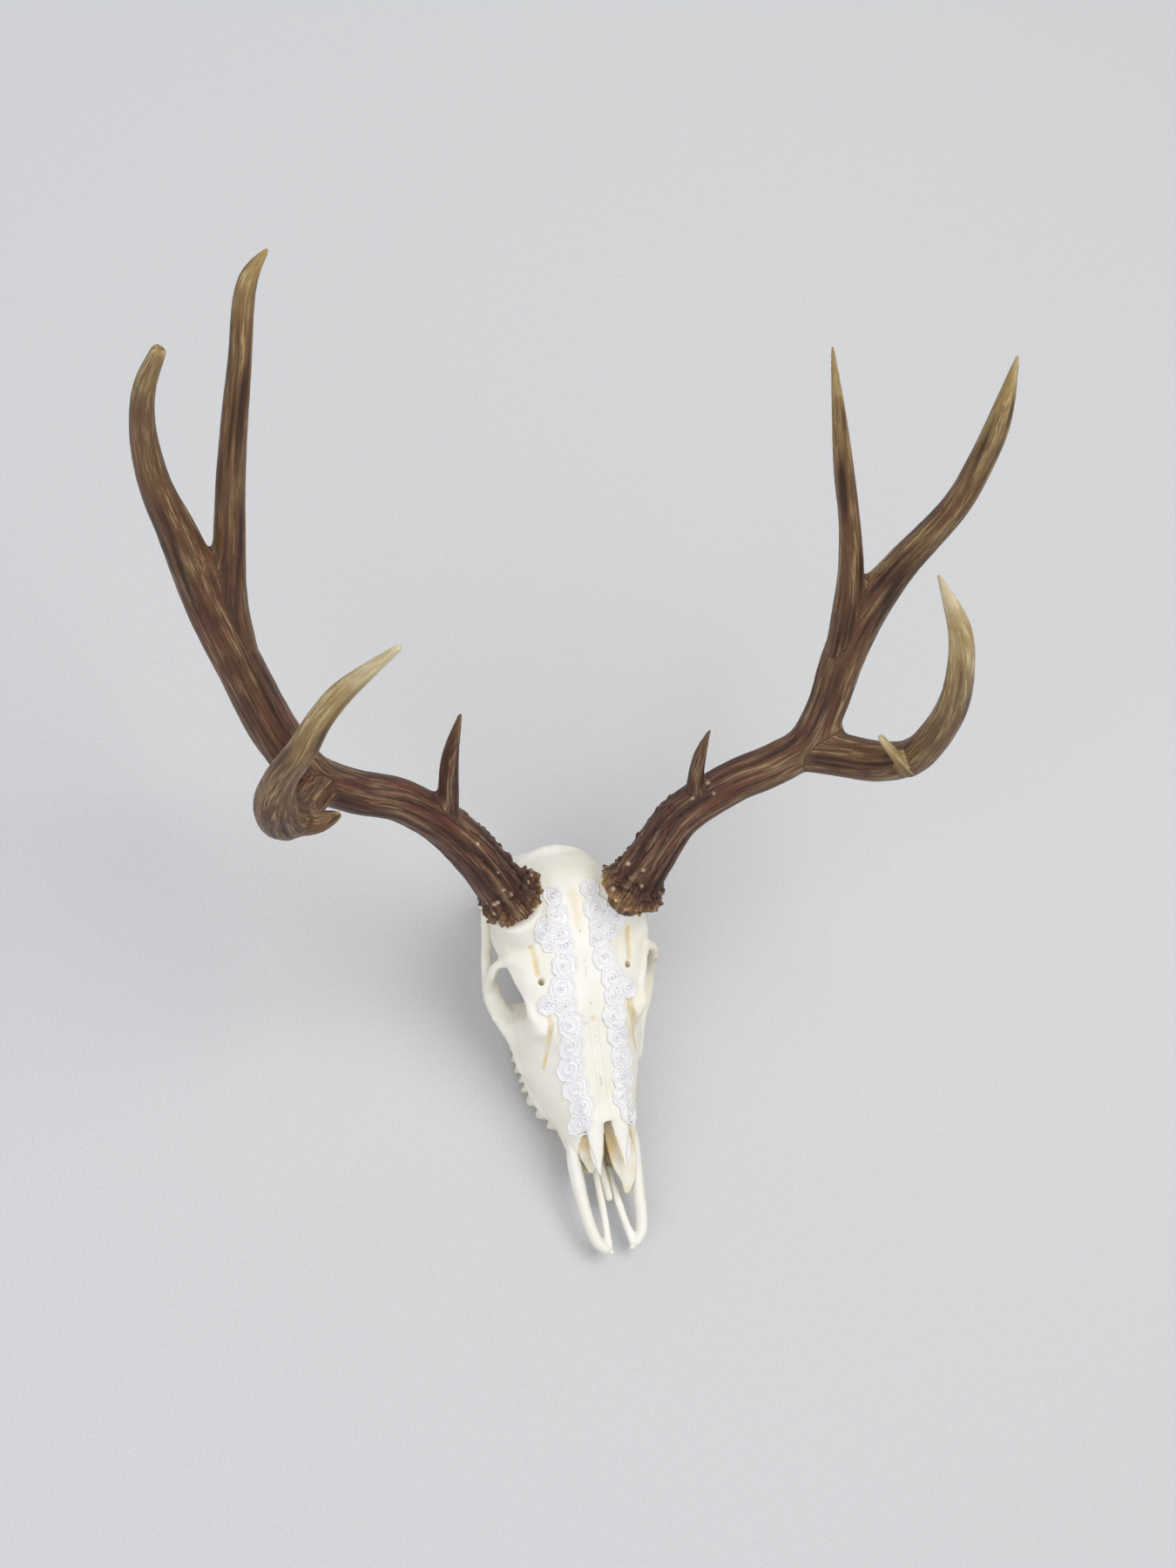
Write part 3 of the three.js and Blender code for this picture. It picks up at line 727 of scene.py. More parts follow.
@dataclass(frozen=True)
class AntlerFinish:
    """Hard antler: dark red-brown low down, olive brown above, ivory at the tips, streaked along."""

    dark: Colour = (0.021, 0.0095, 0.0075)
    brown: Colour = (0.072, 0.031, 0.020)
    olive: Colour = (0.165, 0.092, 0.040)
    tan: Colour = (0.375, 0.25, 0.09)
    ivory: Colour = (0.72, 0.61, 0.38)
    pearl: Colour = (0.70, 0.57, 0.37)
    amber: Colour = (0.50, 0.22, 0.05)
    rust: Colour = (0.155, 0.056, 0.034)
    # Paler copies of the colours above, laid on the ridges: their rubbed wear with a painted highlight.
    worn_lit_dark: Colour = (0.215, 0.118, 0.072)
    worn_lit_brown: Colour = (0.40, 0.275, 0.15)
    worn_lit_olive: Colour = (0.54, 0.41, 0.19)
    worn_lit_ivory: Colour = (0.84, 0.75, 0.56)

    def build(self) -> bpy.types.Material:
        """Makes the material; it reads the marks grain, tone, relief, pearl and amber."""
        r = Recipe("antler")
        grain = r.attribute("grain").outputs["Vector"]
        tone = r.attribute("tone").outputs["Fac"]
        relief = r.attribute("relief").outputs["Fac"]
        broad = r.noise(1.0, detail=3.0, vector=r.stretched(grain, (0.16, 0.16, 0.018)))
        along = r.stretched(grain, (0.75, 0.75, 0.035))
        streak = r.noise(1.0, detail=4.0, rough=0.65, vector=along)
        fine = r.stretched(grain, (2.2, 2.2, 0.09))
        thread = r.noise(1.0, detail=3.0, rough=0.6, vector=fine)
        mottled = r.maths("ADD", tone, r.maths("MULTIPLY_ADD", r.noise(45.0, detail=4.0), 0.34, -0.17))
        base = r.ramp(
            mottled,
            [(0.0, self.dark), (0.3, self.brown), (0.55, self.olive), (0.78, self.tan), (1.0, self.ivory)],
        )
        worn_and_lit = r.ramp(
            mottled,
            [
                (0.0, self.worn_lit_dark), (0.3, self.worn_lit_brown), (0.55, self.worn_lit_olive),
                (0.8, self.ivory), (1.0, self.worn_lit_ivory),
            ],
        )
        red = r.noise(1.0, detail=3.0, vector=r.stretched(grain, (0.34, 0.34, 0.03)))
        low_down = r.fit(tone, 0.3, 0.9, (1.0, 0.15))
        reddish = r.maths("MULTIPLY", r.fit(red, 0.45, 0.65, (0.0, 0.7)), low_down)
        base = r.mix(reddish, base, self.rust)
        # Paler on the raised ridges: their rubbed wear with a painted highlight.
        raised = r.fit(relief, 0.3, 0.75, (0.2, 1.0))
        worn = r.maths("MULTIPLY", r.fit(streak, 0.46, 0.64, (0.0, 0.85)), raised)
        worn = r.maths("MULTIPLY", worn, r.fit(broad, 0.4, 0.58, (0.4, 1.0)))
        patch = r.maths("MULTIPLY", r.fit(broad, 0.55, 0.75), 0.7)
        light = r.maths("MAXIMUM", worn, r.maths("MULTIPLY", patch, r.fit(thread, 0.35, 0.6)))
        colour = r.mix(light, base, worn_and_lit)
        # Darker in the grooves below the tips: their stain with painted shade.
        below_tips = r.fit(tone, 0.6, 1.0, (1.0, 0.25))
        deep = r.maths("MULTIPLY", r.fit(relief, 0.05, 0.46, (0.8, 0.0)), below_tips)
        colour = r.mix(deep, colour, self.dark)
        colour = r.mix(r.attribute("amber").outputs["Fac"], colour, self.amber)
        colour = r.mix(r.attribute("pearl").outputs["Fac"], colour, self.pearl)
        normal = r.bump(streak, 0.0006)
        normal = r.bump(thread, 0.00022, normal)
        rough = r.fit(streak, 0.3, 0.7, (0.52, 0.36))
        return r.finish(base_color=colour, roughness=rough, normal=normal, specular_ior_level=0.26)


@dataclass(frozen=True)
class LaceFinish:
    """Fine thread: cool white with a breath of lavender, woven or twisted."""

    name: str
    white: Colour = (0.93, 0.92, 0.925)
    shade: Colour = (0.895, 0.88, 0.885)
    rosy: Colour = (0.92, 0.885, 0.895)
    twist: float = 900.0

    def build(self) -> bpy.types.Material:
        """Makes the material."""
        r = Recipe(self.name)
        threads = r.cells(self.twist)
        soft = r.noise(130.0)
        colour = r.mix(r.fit(threads, 0.1, 0.6), self.white, self.shade)
        colour = r.mix(r.fit(soft, 0.45, 0.75, (0.0, 0.3)), colour, self.rosy)
        normal = r.bump(threads, 0.00022)
        return r.finish(
            base_color=colour, roughness=0.62, normal=normal, specular_ior_level=0.3,
            sheen_weight=0.35, sheen_roughness=0.4,
        )


@dataclass(frozen=True)
class BeadFinish:
    """Clear glass with a pearly glint; a painted iridescent glint moves each bead's colour between pink,
    clear and pale violet.
    """

    clear: Colour = (0.94, 0.935, 0.945)
    rose_glint: Colour = (0.93, 0.84, 0.86)
    lilac_glint: Colour = (0.87, 0.85, 0.94)

    def build(self) -> bpy.types.Material:
        """Makes the material; it reads the beads' mark of their painted glint colour."""
        r = Recipe("bead")
        # Painted iridescent glint: each bead's colour, from pink through clear to pale violet.
        tint = r.attribute("tint").outputs["Fac"]
        stops = [(0.0, self.rose_glint), (0.35, self.clear), (0.7, self.clear), (1.0, self.lilac_glint)]
        colour = r.ramp(tint, stops)
        waves = r.noise(700.0, detail=1.0)
        normal = r.bump(waves, 0.00006)
        return r.finish(
            base_color=colour, roughness=0.08, normal=normal, specular_ior_level=0.8,
            coat_weight=1.0, coat_roughness=0.04, transmission_weight=0.1, ior=1.5,
        )


@dataclass(frozen=True)
class FloorFinish:
    """Plain pale floor with the faintest grain."""

    pale: Colour = (0.62, 0.625, 0.63)
    darker: Colour = (0.585, 0.59, 0.595)

    def build(self) -> bpy.types.Material:
        """Makes the material."""
        r = Recipe("floor")
        grain = r.noise(500.0, detail=2.0)
        colour = r.mix(r.fit(grain, 0.3, 0.7), self.pale, self.darker)
        normal = r.bump(grain, 0.0001)
        return r.finish(base_color=colour, roughness=0.85, specular_ior_level=0.2, normal=normal)


# ------------------------------------------------------------------------------------------------
# Antlers


ANTLER_PARTS = (
    "burr", "beam", "brow_tine", "rear_stem", "rear_inner_tine", "rear_outer_tine", "front_beam",
    "front_spur",
)
BRANCH_APART = 400.0  # added to the distance from the foot, so that no two branches have like grain


@dataclass
class Branch:
    """One run of an antler, from where it leaves the run below to its end."""

    points: Sequence[Point]  # x outwards, y, z and radius
    tones: tuple[float, ...]  # colour at even steps, 0 dark brown, 1 ivory
    rough: tuple[float, float]  # depth of the grooves at the foot and at the end


@dataclass
class Antler:
    """One antler: a knobbly burr, a grooved beam and its tines, as one skin."""

    side: Side
    burr: Sequence[Point]
    branches: dict[str, Branch]
    seed: int
    amber: float  # how amber the lower rim of the burr is
    webs: Sequence[Point] = ()  # rounds that fill the forks
    knobs: int = 36  # in each of the burr's rings
    knob_rings: Sequence[Point] = (  # how far up the burr, reach from its middle, size of the knobs
        (-0.05, 18.6, 2.6), (0.3, 21.2, 3.0), (0.7, 21.0, 3.1), (1.15, 18.8, 2.9), (1.8, 16.6, 2.5),
    )
    pale_knobs: float = 0.13  # the share of them
    pearls: int = 330
    pearled: float = 95.0  # how far up the beam the pearls go
    pale_pearls: float = 0.12
    cell: float = 1.12
    limb_cell: float = 1.5
    limb_smooth: int = 9
    sample_step: float = 1.5
    neighbours: int = 14  # samples that are looked at for each corner
    blend: float = 5.0  # the difference in depth over which two branches meet
    burr_top: float = 6.0  # the grooves start here, along the burr's axis
    burr_fade: float = 9.0

    def build(self, finish: bpy.types.Material) -> bpy.types.Object:
        """Makes the antler's piece.

        Args:
            finish: The antler material.

        Returns:
            The piece, which replaces all the nodes of this antler.
        """
        limbs = Form()
        for branch in self.branches.values():
            limbs.tube(on_side(self.side, branch.points), sides=28, step=3.0, inset=True)
        for *centre, radius in on_side(self.side, self.webs):
            limbs.ball(centre, (radius, radius, radius), detail=3)
        flowing = fused(limbs.to_mesh("limbs"), self.limb_cell, self.limb_smooth)
        form = Form()
        form.bm.from_mesh(flowing)
        bpy.data.meshes.remove(flowing)
        pale = self._add_knobs(form) + self._add_pearls(form)
        mesh = fused(form.to_mesh("antler"), self.cell, 2)
        self._mark(mesh, pale)
        name = f"antler_{self.side.label}"
        nodes = [f"{name}_{part}" for part in ANTLER_PARTS]
        return piece(mesh, name, finish, nodes)

    def _add_knobs(self, form: Form) -> list[Vector]:
        """Adds the burr's core and uneven rings of knobs, and gives where the pale ones are."""
        rng = random.Random(self.seed)
        points = np.asarray(on_side(self.side, self.burr))
        form.tube([(*p[:3], p[3] - 4.2) for p in points], sides=28, step=1.5)
        axis = Vector(points[-1, :3] - points[0, :3]).normalized()
        first = axis.orthogonal().normalized()
        second = axis.cross(first)
        foot = Vector(points[0, :3])
        height = float(np.linalg.norm(points[-1, :3] - points[0, :3]))
        pale: list[Vector] = []
        for level, (rise, reach, size) in enumerate(self.knob_rings):
            for i in range(self.knobs):
                angle = (i + 0.5 * level + rng.uniform(-0.35, 0.35)) * math.tau / self.knobs
                out = reach + rng.uniform(-2.2, 1.2)
                radius = size * rng.uniform(0.45, 1.05)
                ray = first * math.cos(angle) + second * math.sin(angle)
                centre = foot + axis * (rise * height + rng.uniform(-1.2, 1.2)) + ray * out
                turn = ray.to_track_quat("Z", "X").to_matrix().to_4x4()
                sizes = (radius * 0.8, radius * 0.8, radius * rng.uniform(0.9, 1.5))
                form.ball(centre, sizes, turn, detail=2)
                if rng.random() < self.pale_knobs:
                    pale.append(centre + ray * radius)
        return pale

    def _add_pearls(self, form: Form) -> list[Vector]:
        """Adds the pearls on the lower beam, and gives where the pale ones are."""
        rng = random.Random(self.seed + 1)
        path = smooth_path(on_side(self.side, self.branches["trunk"].points), 1.0)
        ahead, first, second = frames_along(path)
        pale: list[Vector] = []
        for _ in range(self.pearls):
            share = rng.random() ** 1.5
            i = min(len(path) - 1, int(share * self.pearled))
            angle = rng.uniform(0, math.tau)
            ray = Vector(first[i] * math.cos(angle) + second[i] * math.sin(angle))
            facing = ray.z * 0.5 - ray.x * self.side.value * 0.6 + ray.y * 0.35  # up, inwards and back
            if rng.random() > 0.35 + facing:
                continue
            size = (1.0 + 1.5 * (1 - share)) * rng.uniform(0.6, 1.15)
            centre = Vector(path[i, :3]) + ray * (path[i, 3] + size * 0.1)
            turn = Vector(ahead[i]).to_track_quat("Z", "X").to_matrix().to_4x4()
            form.ball(centre, (size, size, size * rng.uniform(1.0, 1.9)), turn, detail=1)
            if rng.random() < self.pale_pearls:
                pale.append(centre + ray * size)
        return pale

    def _mark(self, mesh: bpy.types.Mesh, pale: Sequence[Vector]) -> None:
        """Presses the grooves in and keeps grain, tone, relief, pearl and amber for the finish.

        Args:
            mesh: The antler's skin.
            pale: Where the pale knobs are.
        """
        skin = Surface(mesh)
        rows, apart = self._nearest(skin.points)
        off = skin.points - rows[:, :3]
        along = np.einsum("ij,ij->i", off, rows[:, 4:7])
        u = np.einsum("ij,ij->i", off, rows[:, 7:10])
        v = np.einsum("ij,ij->i", off, rows[:, 10:13])
        reach = np.maximum(1e-3, np.hypot(u, v))
        radius = np.maximum(1.5, rows[:, 3])
        grain = np.stack([u / reach * radius, v / reach * radius, rows[:, 13] + along], axis=1)
        tone, rough = rows[:, 14], rows[:, 15]
        groove = rough_noise(grain, (3.0, 3.0, 60.0))
        ridge = rough_noise(grain + 31.7, (5.5, 5.5, 90.0))
        lump = rough_noise(skin.points, (9.0, 9.0, 9.0))
        relief = 0.62 * groove + 0.45 * ridge
        thin = np.clip(rows[:, 3] / 8.0, 0.1, 1.0)
        burr = np.asarray(on_side(self.side, self.burr))[:, :3]
        axis = (burr[-1] - burr[0]) / np.linalg.norm(burr[-1] - burr[0])
        level = (skin.points - burr[0]) @ axis
        outward = np.linalg.norm(skin.points - burr[0] - level[:, None] * axis, axis=1)
        plain = np.clip((level - self.burr_top) / self.burr_fade, 0, 1)  # 0 on the burr's knobs
        pitted = rough_noise(skin.points + 5.3, (2.6, 2.6, 2.6))
        furrow = 1.35 * relief * (0.2 + 0.8 * apart) * (0.25 + 0.75 * plain)
        skin.push(rough * (furrow + 0.35 * lump + 0.75 * pitted * (1 - plain) - 0.3) * thin)
        spots = tree_of(pale)
        away = np.array([spots.find(p)[2] for p in skin.points.tolist()])
        rim = np.clip((6.5 - level) / 5.0, 0, 1) * (outward > 15)
        patchy = np.clip(0.5 + 1.2 * rough_noise(skin.points, (8.0, 8.0, 8.0)), 0, 1)
        # On the burr the knobs are paler, the outer ones most, and the tone is raised: their wear with a
        # painted highlight.
        worn = 0.55 + 0.35 * patchy + 0.2 * np.clip((outward - 20.0) / 4.0, 0, 1)
        tone = tone + (1 - plain) * (0.16 + 0.2 * patchy)
        skin.mark("grain", grain)
        skin.mark("tone", tone)
        streaky = 0.5 + 0.9 * relief * (0.35 + 0.65 * apart)
        skin.mark("relief", np.clip(plain * streaky + (1 - plain) * worn, 0, 1))
        skin.mark("pearl", falloff(away, 2.3))
        spotted = np.clip(0.15 + 1.9 * rough_noise(skin.points + 9.1, (5.0, 5.0, 5.0)), 0, 1)
        amber = rim * self.amber * (0.35 + 0.65 * self.amber * patchy) * (0.35 + spotted)
        skin.mark("amber", np.clip(amber, 0, 1))

    def _nearest(self, points: np.ndarray) -> tuple[np.ndarray, np.ndarray]:
        """Finds for each corner of the skin the sample of the branch that it belongs to.

        Args:
            points: The corners.

        Returns:
            The samples' rows, and how far each corner is from other branches: 0 where two meet, else 1.
        """
        samples = self._samples()
        tree = tree_of(samples[:, :3])
        nearest = np.empty(len(points), int)
        apart = np.ones(len(points))
        radii, branch = samples[:, 3].tolist(), samples[:, 16].tolist()
        for i, point in enumerate(points.tolist()):
            found = [(hit[2] - radii[hit[1]], hit[1]) for hit in tree.find_n(point, self.neighbours)]
            depth, nearest[i] = min(found)
            others = [d for d, j in found if branch[j] != branch[nearest[i]]]
            if others:
                apart[i] = min(1.0, (min(others) - depth) / self.blend)
        return samples[nearest], apart

    def _samples(self) -> np.ndarray:
        """The middle lines of all the branches.

        Returns:
            Rows of place, radius, three directions, distance from the foot, tone, groove depth and branch.
        """
        blocks = []
        for k, branch in enumerate(self.branches.values()):
            path = smooth_path(on_side(self.side, branch.points), self.sample_step)
            ahead, first, second = frames_along(path)
            share = np.linspace(0, 1, len(path))
            distance = share * self.sample_step * (len(path) - 1) + BRANCH_APART * k
            tone = np.interp(share, np.linspace(0, 1, len(branch.tones)), branch.tones)
            rough = np.interp(share, (0, 1), branch.rough)
            number = np.full(len(path), k)
            columns = [path, ahead, first, second, distance, tone, rough, number]
            blocks.append(np.column_stack(columns))
        return np.vstack(blocks)


def left_antler() -> Antler:
    """The antler on the animal's left."""
    return Antler(
        side=Side.LEFT,
        seed=11,
        amber=1.0,
        webs=[(162.7, 269.4, 233.6, 12), (185.7, 335, 317.2, 9.5)],
        burr=[
            (36.6, 217.6, 126.4, 19.5), (38.2, 219.2, 128.8, 22.5), (40, 221, 131.4, 22),
            (41.6, 222.6, 134, 18),
        ],
        branches={
            "trunk": Branch(
                [(39, 220, 130, 17), (55, 237, 153, 15.8), (72, 252, 174, 14.5), (105, 261, 197, 14.2),
                 (131, 263.5, 211, 14), (151, 269, 224, 13.4), (165, 287, 244, 13), (174, 308, 268, 14),
                 (185, 326, 298, 14), (200, 338.5, 332, 11), (223, 352, 389, 9), (230, 363, 422, 8.5),
                 (233, 374, 454, 7.4), (235, 395, 497, 1.6)],
                (0.16, 0.2, 0.3, 0.36, 0.36, 0.38, 0.4, 0.42, 0.46, 0.54, 0.64, 0.86), (1.0, 0.12),
            ),
            "brow_tine": Branch(
                [(79, 260, 186, 6), (79, 275, 218, 4.8), (80, 283, 250, 1.4)],
                (0.22, 0.3, 0.62), (0.7, 0.2),
            ),
            "inner_tine": Branch(
                [(170, 306, 266, 9), (172.5, 325, 297, 10.2), (171.5, 344, 326, 8.6), (168, 364, 352, 7.2),
                 (159, 386, 387, 6.6), (150, 404, 421, 4.9), (133, 426, 478, 1.6)],
                (0.38, 0.4, 0.44, 0.52, 0.64, 0.88), (0.55, 0.12),
            ),
            "front_beam": Branch(
                [(150, 266.5, 219, 14), (169, 254.5, 232.5, 14.4), (183, 241, 251, 13.4),
                 (194, 231, 280, 11.8), (198, 232, 312, 10.8), (198, 238, 350, 9.9), (190, 247, 392, 8.5),
                 (178, 258, 430, 7.2), (153, 277, 476, 1.8)],
                (0.36, 0.4, 0.5, 0.62, 0.8, 1.0), (0.7, 0.1),
            ),
            "front_spur": Branch(
                [(194, 229, 273, 6.5), (190.5, 222.5, 279, 4.9), (180.5, 229.5, 289, 4.2),
                 (168, 243, 300, 2.6)],
                (0.5, 0.7, 0.95), (0.3, 0.1),
            ),
        },
    )


def right_antler() -> Antler:
    """The antler on the animal's right, which is the larger one."""
    return Antler(
        side=Side.RIGHT,
        seed=29,
        amber=0.45,
        burr=[
            (40.6, 228, 127.4, 19.5), (42.4, 230, 129.8, 23), (44.4, 232, 132.2, 22.5),
            (46.2, 234, 134.6, 18),
        ],
        branches={
            "trunk": Branch(
                [(43, 228, 130, 17), (68, 257, 161, 15.8), (90, 274, 184, 14.6), (119, 287, 208, 14.2),
                 (149, 294, 221, 14.4), (175, 304, 237, 14.2), (194, 325, 260, 14.8), (214, 359, 300, 14.4),
                 (229, 387, 333, 14.6), (246, 415, 381, 11.6), (257, 430, 413, 9.6), (263, 444, 451, 7.8),
                 (263, 450, 491, 6.4), (257, 452, 526, 4.4)],
                (0.12, 0.16, 0.21, 0.26, 0.29, 0.3, 0.33, 0.36, 0.41, 0.48, 0.56, 0.7), (1.0, 0.2),
            ),
            "brow_tine": Branch(
                [(86, 276, 190, 7.5), (85, 301, 227, 6), (80, 318, 264, 1.7)],
                (0.18, 0.24, 0.55), (0.7, 0.2),
            ),
            "inner_tine": Branch(
                [(211, 358, 300, 10.5), (217, 385, 333, 11), (214.5, 413, 372, 9.6), (211.5, 435, 400, 8.8),
                 (204, 472, 461, 7), (198, 497, 507, 5.6), (187, 504, 526, 1.6)],
                (0.34, 0.36, 0.42, 0.48, 0.56, 0.78), (0.55, 0.12),
            ),
            "front_beam": Branch(
                [(167, 303, 229, 13.6), (190, 283, 248, 15.2), (203, 271, 268, 15.4),
                 (212.5, 269, 298, 13.4), (212.5, 272, 335, 10.2), (204, 274, 376, 8.8),
                 (196.5, 279, 407, 7.6), (187, 282, 434, 6.8), (161.5, 284, 484, 2.4)],
                (0.3, 0.34, 0.42, 0.55, 0.8, 1.0), (0.75, 0.1),
            ),
            "front_spur": Branch(
                [(200, 271, 258, 10), (184, 266, 261, 7.8), (175, 266, 263.5, 5.2), (168, 267, 265, 2.2)],
                (0.34, 0.4, 0.7), (0.4, 0.15),
            ),
        },
    )


# ------------------------------------------------------------------------------------------------
# Bones of the head


@dataclass
class Cranium:
    """The skin of the head's bones: nose, upper jaws, forehead, eye sockets, arches and braincase."""

    body_cell: float = 1.8  # of the full bodies, which are smoothed well
    bone_cell: float = 1.3
    hollow_cell: float = 1.0
    cell: float = 1.15
    nasion_y: float = 146.0
    muzzle: Sequence[Point] = (
        (56, 21, 13, 26, 40), (76, 26, 11, 34, 59), (96, 30.5, 12, 35, 68), (116, 37.5, 12, 34, 77),
        (132, 42.5, 14, 36, 85), (146, 46, 22, 44, 92), (160, 43, 30, 52, 96), (173, 35, 38, 54, 84),
    )
    nose_hollow: Sequence[Point] = (
        (40, 16, 17, 26, 44), (76, 20.5, 16, 28, 54.5), (96, 24, 18, 31, 62), (116, 25, 22, 36, 70),
        (134, 14, 28, 44, 74),
    )
    forehead: Sequence[Point] = (
        (134, 28, 56, 68, 85.5), (148, 40, 62, 75, 94), (162, 41, 70, 83, 101), (176, 44, 84, 93, 107),
        (188, 47, 89, 97, 113), (200, 52, 87, 99, 117), (212, 50, 80, 100, 121), (226, 42, 76, 100, 122.5),
        (240, 32, 74, 96, 120),
    )
    core: Sequence[Point] = (
        (140, 24, 26, 56, 84), (156, 22, 26, 60, 94), (174, 18, 24, 62, 100), (190, 19, 30, 64, 106),
        (206, 27, 38, 72, 112), (222, 33, 42, 76, 116),
    )
    braincase: Sequence[Point] = (
        (196, 22, 50, 74, 104), (212, 32, 44, 78, 118), (230, 36, 42, 80, 122), (246, 35.5, 41, 78, 117),
        (258, 33, 41, 74, 107), (267, 29, 42, 68, 94), (274, 22, 46, 62, 79),
    )
    floor_bar: Sequence[Point] = (
        (150, 12, 26, 34, 50), (190, 11, 34, 42, 56), (230, 14, 38, 46, 64), (268, 14, 40, 50, 66),
    )
    rim_runs: Sequence[Sequence[Point]] = (
        (
            (38, 132, 36, 7), (42.5, 150, 46, 6.8), (50.5, 164, 51, 5.4), (55.5, 176, 55, 4.8),
            (56.5, 186, 61, 4.6),
        ),
        ((46, 168, 52, 5), (51.5, 178, 57, 4.8), (53.5, 188, 65, 4.2)),
        ((56, 182, 59, 5), (55, 198, 66, 4.4), (51.4, 216, 71, 4.2), (46, 236, 73, 5), (38, 248, 72, 6)),
        ((40, 228, 66, 7), (41, 238, 68, 8), (38, 248, 70, 8)),
        (
            (56.5, 184, 62, 4.6), (57.4, 187, 72, 4.2), (57, 189, 82, 3.6), (55.6, 191.6, 90, 3.3),
            (47, 193, 99, 4.2),
        ),
        ((38, 155, 87, 4.5), (39.5, 166, 90.5, 3.2), (43, 177, 93.5, 3.2), (46, 188, 97, 3.4)),
    )
    body_runs: Sequence[Sequence[Point]] = (
        ((33, 150, 84, 8), (35, 156, 70, 8.5), (38, 160, 55, 8.5)),
        ((48.5, 197, 99, 5), (48.4, 207, 94, 6), (46.5, 215, 89, 7.5), (43, 226, 86, 8)),
    )
    eye_floor: Sequence[Point] = ((18, 166, 50, 10), (36, 167.5, 48, 10.5), (52, 171, 53, 7))
    pedicle: Sequence[Point] = (
        (29, 210, 90, 20), (32, 215, 101, 20.5), (37, 220, 114, 19.5), (41, 224.5, 126, 18.5),
    )
    slit: Sequence[Point] = (
        (30.5, 160, 96.5, 1.0), (28.3, 149, 91, 1.8), (29.2, 147, 88, 1.9), (30.3, 142, 82.4, 1.7),
        (31.4, 136.5, 74, 1.2), (32.4, 130.5, 64.7, 0.9), (33, 127, 60.5, 0.6),
    )
    slit_width: dict[Side, float] = field(default_factory=lambda: {Side.LEFT: 1.7, Side.RIGHT: 1.1})
    arch_gap: Sequence[Point] = ((54, 204.5, 91, 2.0), (49.2, 209.5, 71.4, 2.2), (44, 214, 52, 2.2))
    brow_hole: Sequence[Point] = ((32.3, 178, 118, 2.4), (30, 176, 96, 2.2))
    brow_groove: Sequence[Point] = ((33, 180, 106), (33.5, 188, 110), (34.5, 198, 114))
    prong: Sequence[Point] = (  # the pointed end of a nose bone
        (8.8, 100, 64.8, 7.2), (8.2, 92, 62.4, 7.1), (8, 85, 59.8, 6.9), (8.4, 78, 56.2, 6.4),
        (8.8, 70, 51.9, 5.6), (9.4, 60, 46.3, 4.2), (8.4, 50.5, 41, 1.4),
    )
    prong_shift: dict[Side, float] = field(  # how far each is set outwards
        default_factory=lambda: {Side.LEFT: 1.5, Side.RIGHT: 0.0}
    )
    nasal_edge: Sequence[tuple[float, float]] = (  # y and the distance from the midline
        (60, 11), (84, 17), (100, 18), (126, 17.5), (140, 13), (146, 4),
    )
    jugular: Sequence[Point] = (
        (28, 261, 60, 8), (31, 264, 38, 7), (31.5, 263, 18, 4.8), (31, 261, 3.2, 3.4),
    )

    def build(self, finish: bpy.types.Material) -> bpy.types.Object:
        """Makes the skull's piece.

        Args:
            finish: The bone material.

        Returns:
            The piece, which replaces the nodes of the head's bones.
        """
        whole = self._add_thin(fused(self._solid().to_mesh("solid"), self.body_cell, 22))
        solid = fused(whole.to_mesh("solid"), self.bone_cell, 3)
        hollows = fused(self._hollows().to_mesh("hollows"), self.hollow_cell, 3)
        final = Form()
        hollowed = carved(solid, hollows)
        final.bm.from_mesh(hollowed)
        bpy.data.meshes.remove(hollowed)
        for side in Side:
            prong = [(x + self.prong_shift[side], *rest) for x, *rest in self.prong]
            final.tube(on_side(side, prong), wide=0.42, across=UP, step=1.5)
        mesh = fused(final.to_mesh("skull"), self.cell, 5)
        self._mark(mesh)
        nodes = ["forehead", "face_core", "braincase"]
        nodes += [f"{part}_{side.label}" for part in ("cheekbone", "nasal", "maxilla") for side in Side]
        return piece(mesh, "skull", finish, nodes)

    def _solid(self) -> Form:
        """The full bodies of nose, forehead and braincase, which flow into each other."""
        form = Form()
        form.loft(self.muzzle, square=1.9)
        form.loft(self.forehead)
        form.loft(self.core)
        form.loft(self.braincase)
        form.loft(self.floor_bar, sides=32)
        for side in Side:
            form.tube(on_side(side, self.pedicle), sides=40, round_ends=False)
            for run in self.body_runs:
                form.tube(on_side(side, run))
        return form

    def _add_thin(self, body: bpy.types.Mesh) -> Form:
        """Adds arches, rims and the skull's base to the full bodies, which are taken over.

        Args:
            body: The full bodies' skin, which is removed.

        Returns:
            All the bodies of bone before they are hollowed.
        """
        form = Form()
        form.bm.from_mesh(body)
        bpy.data.meshes.remove(body)
        for side in Side:
            for run in self.rim_runs:
                form.tube(on_arch(side, run))
            form.ball(on_arch(side, [(57.5, 187.5, 81)])[0], (2.6, 3.0, 5.5), detail=2)
            form.tube(on_side(side, self.eye_floor), wide=0.55, across=UP)
            self._add_base(form, side)
        return form

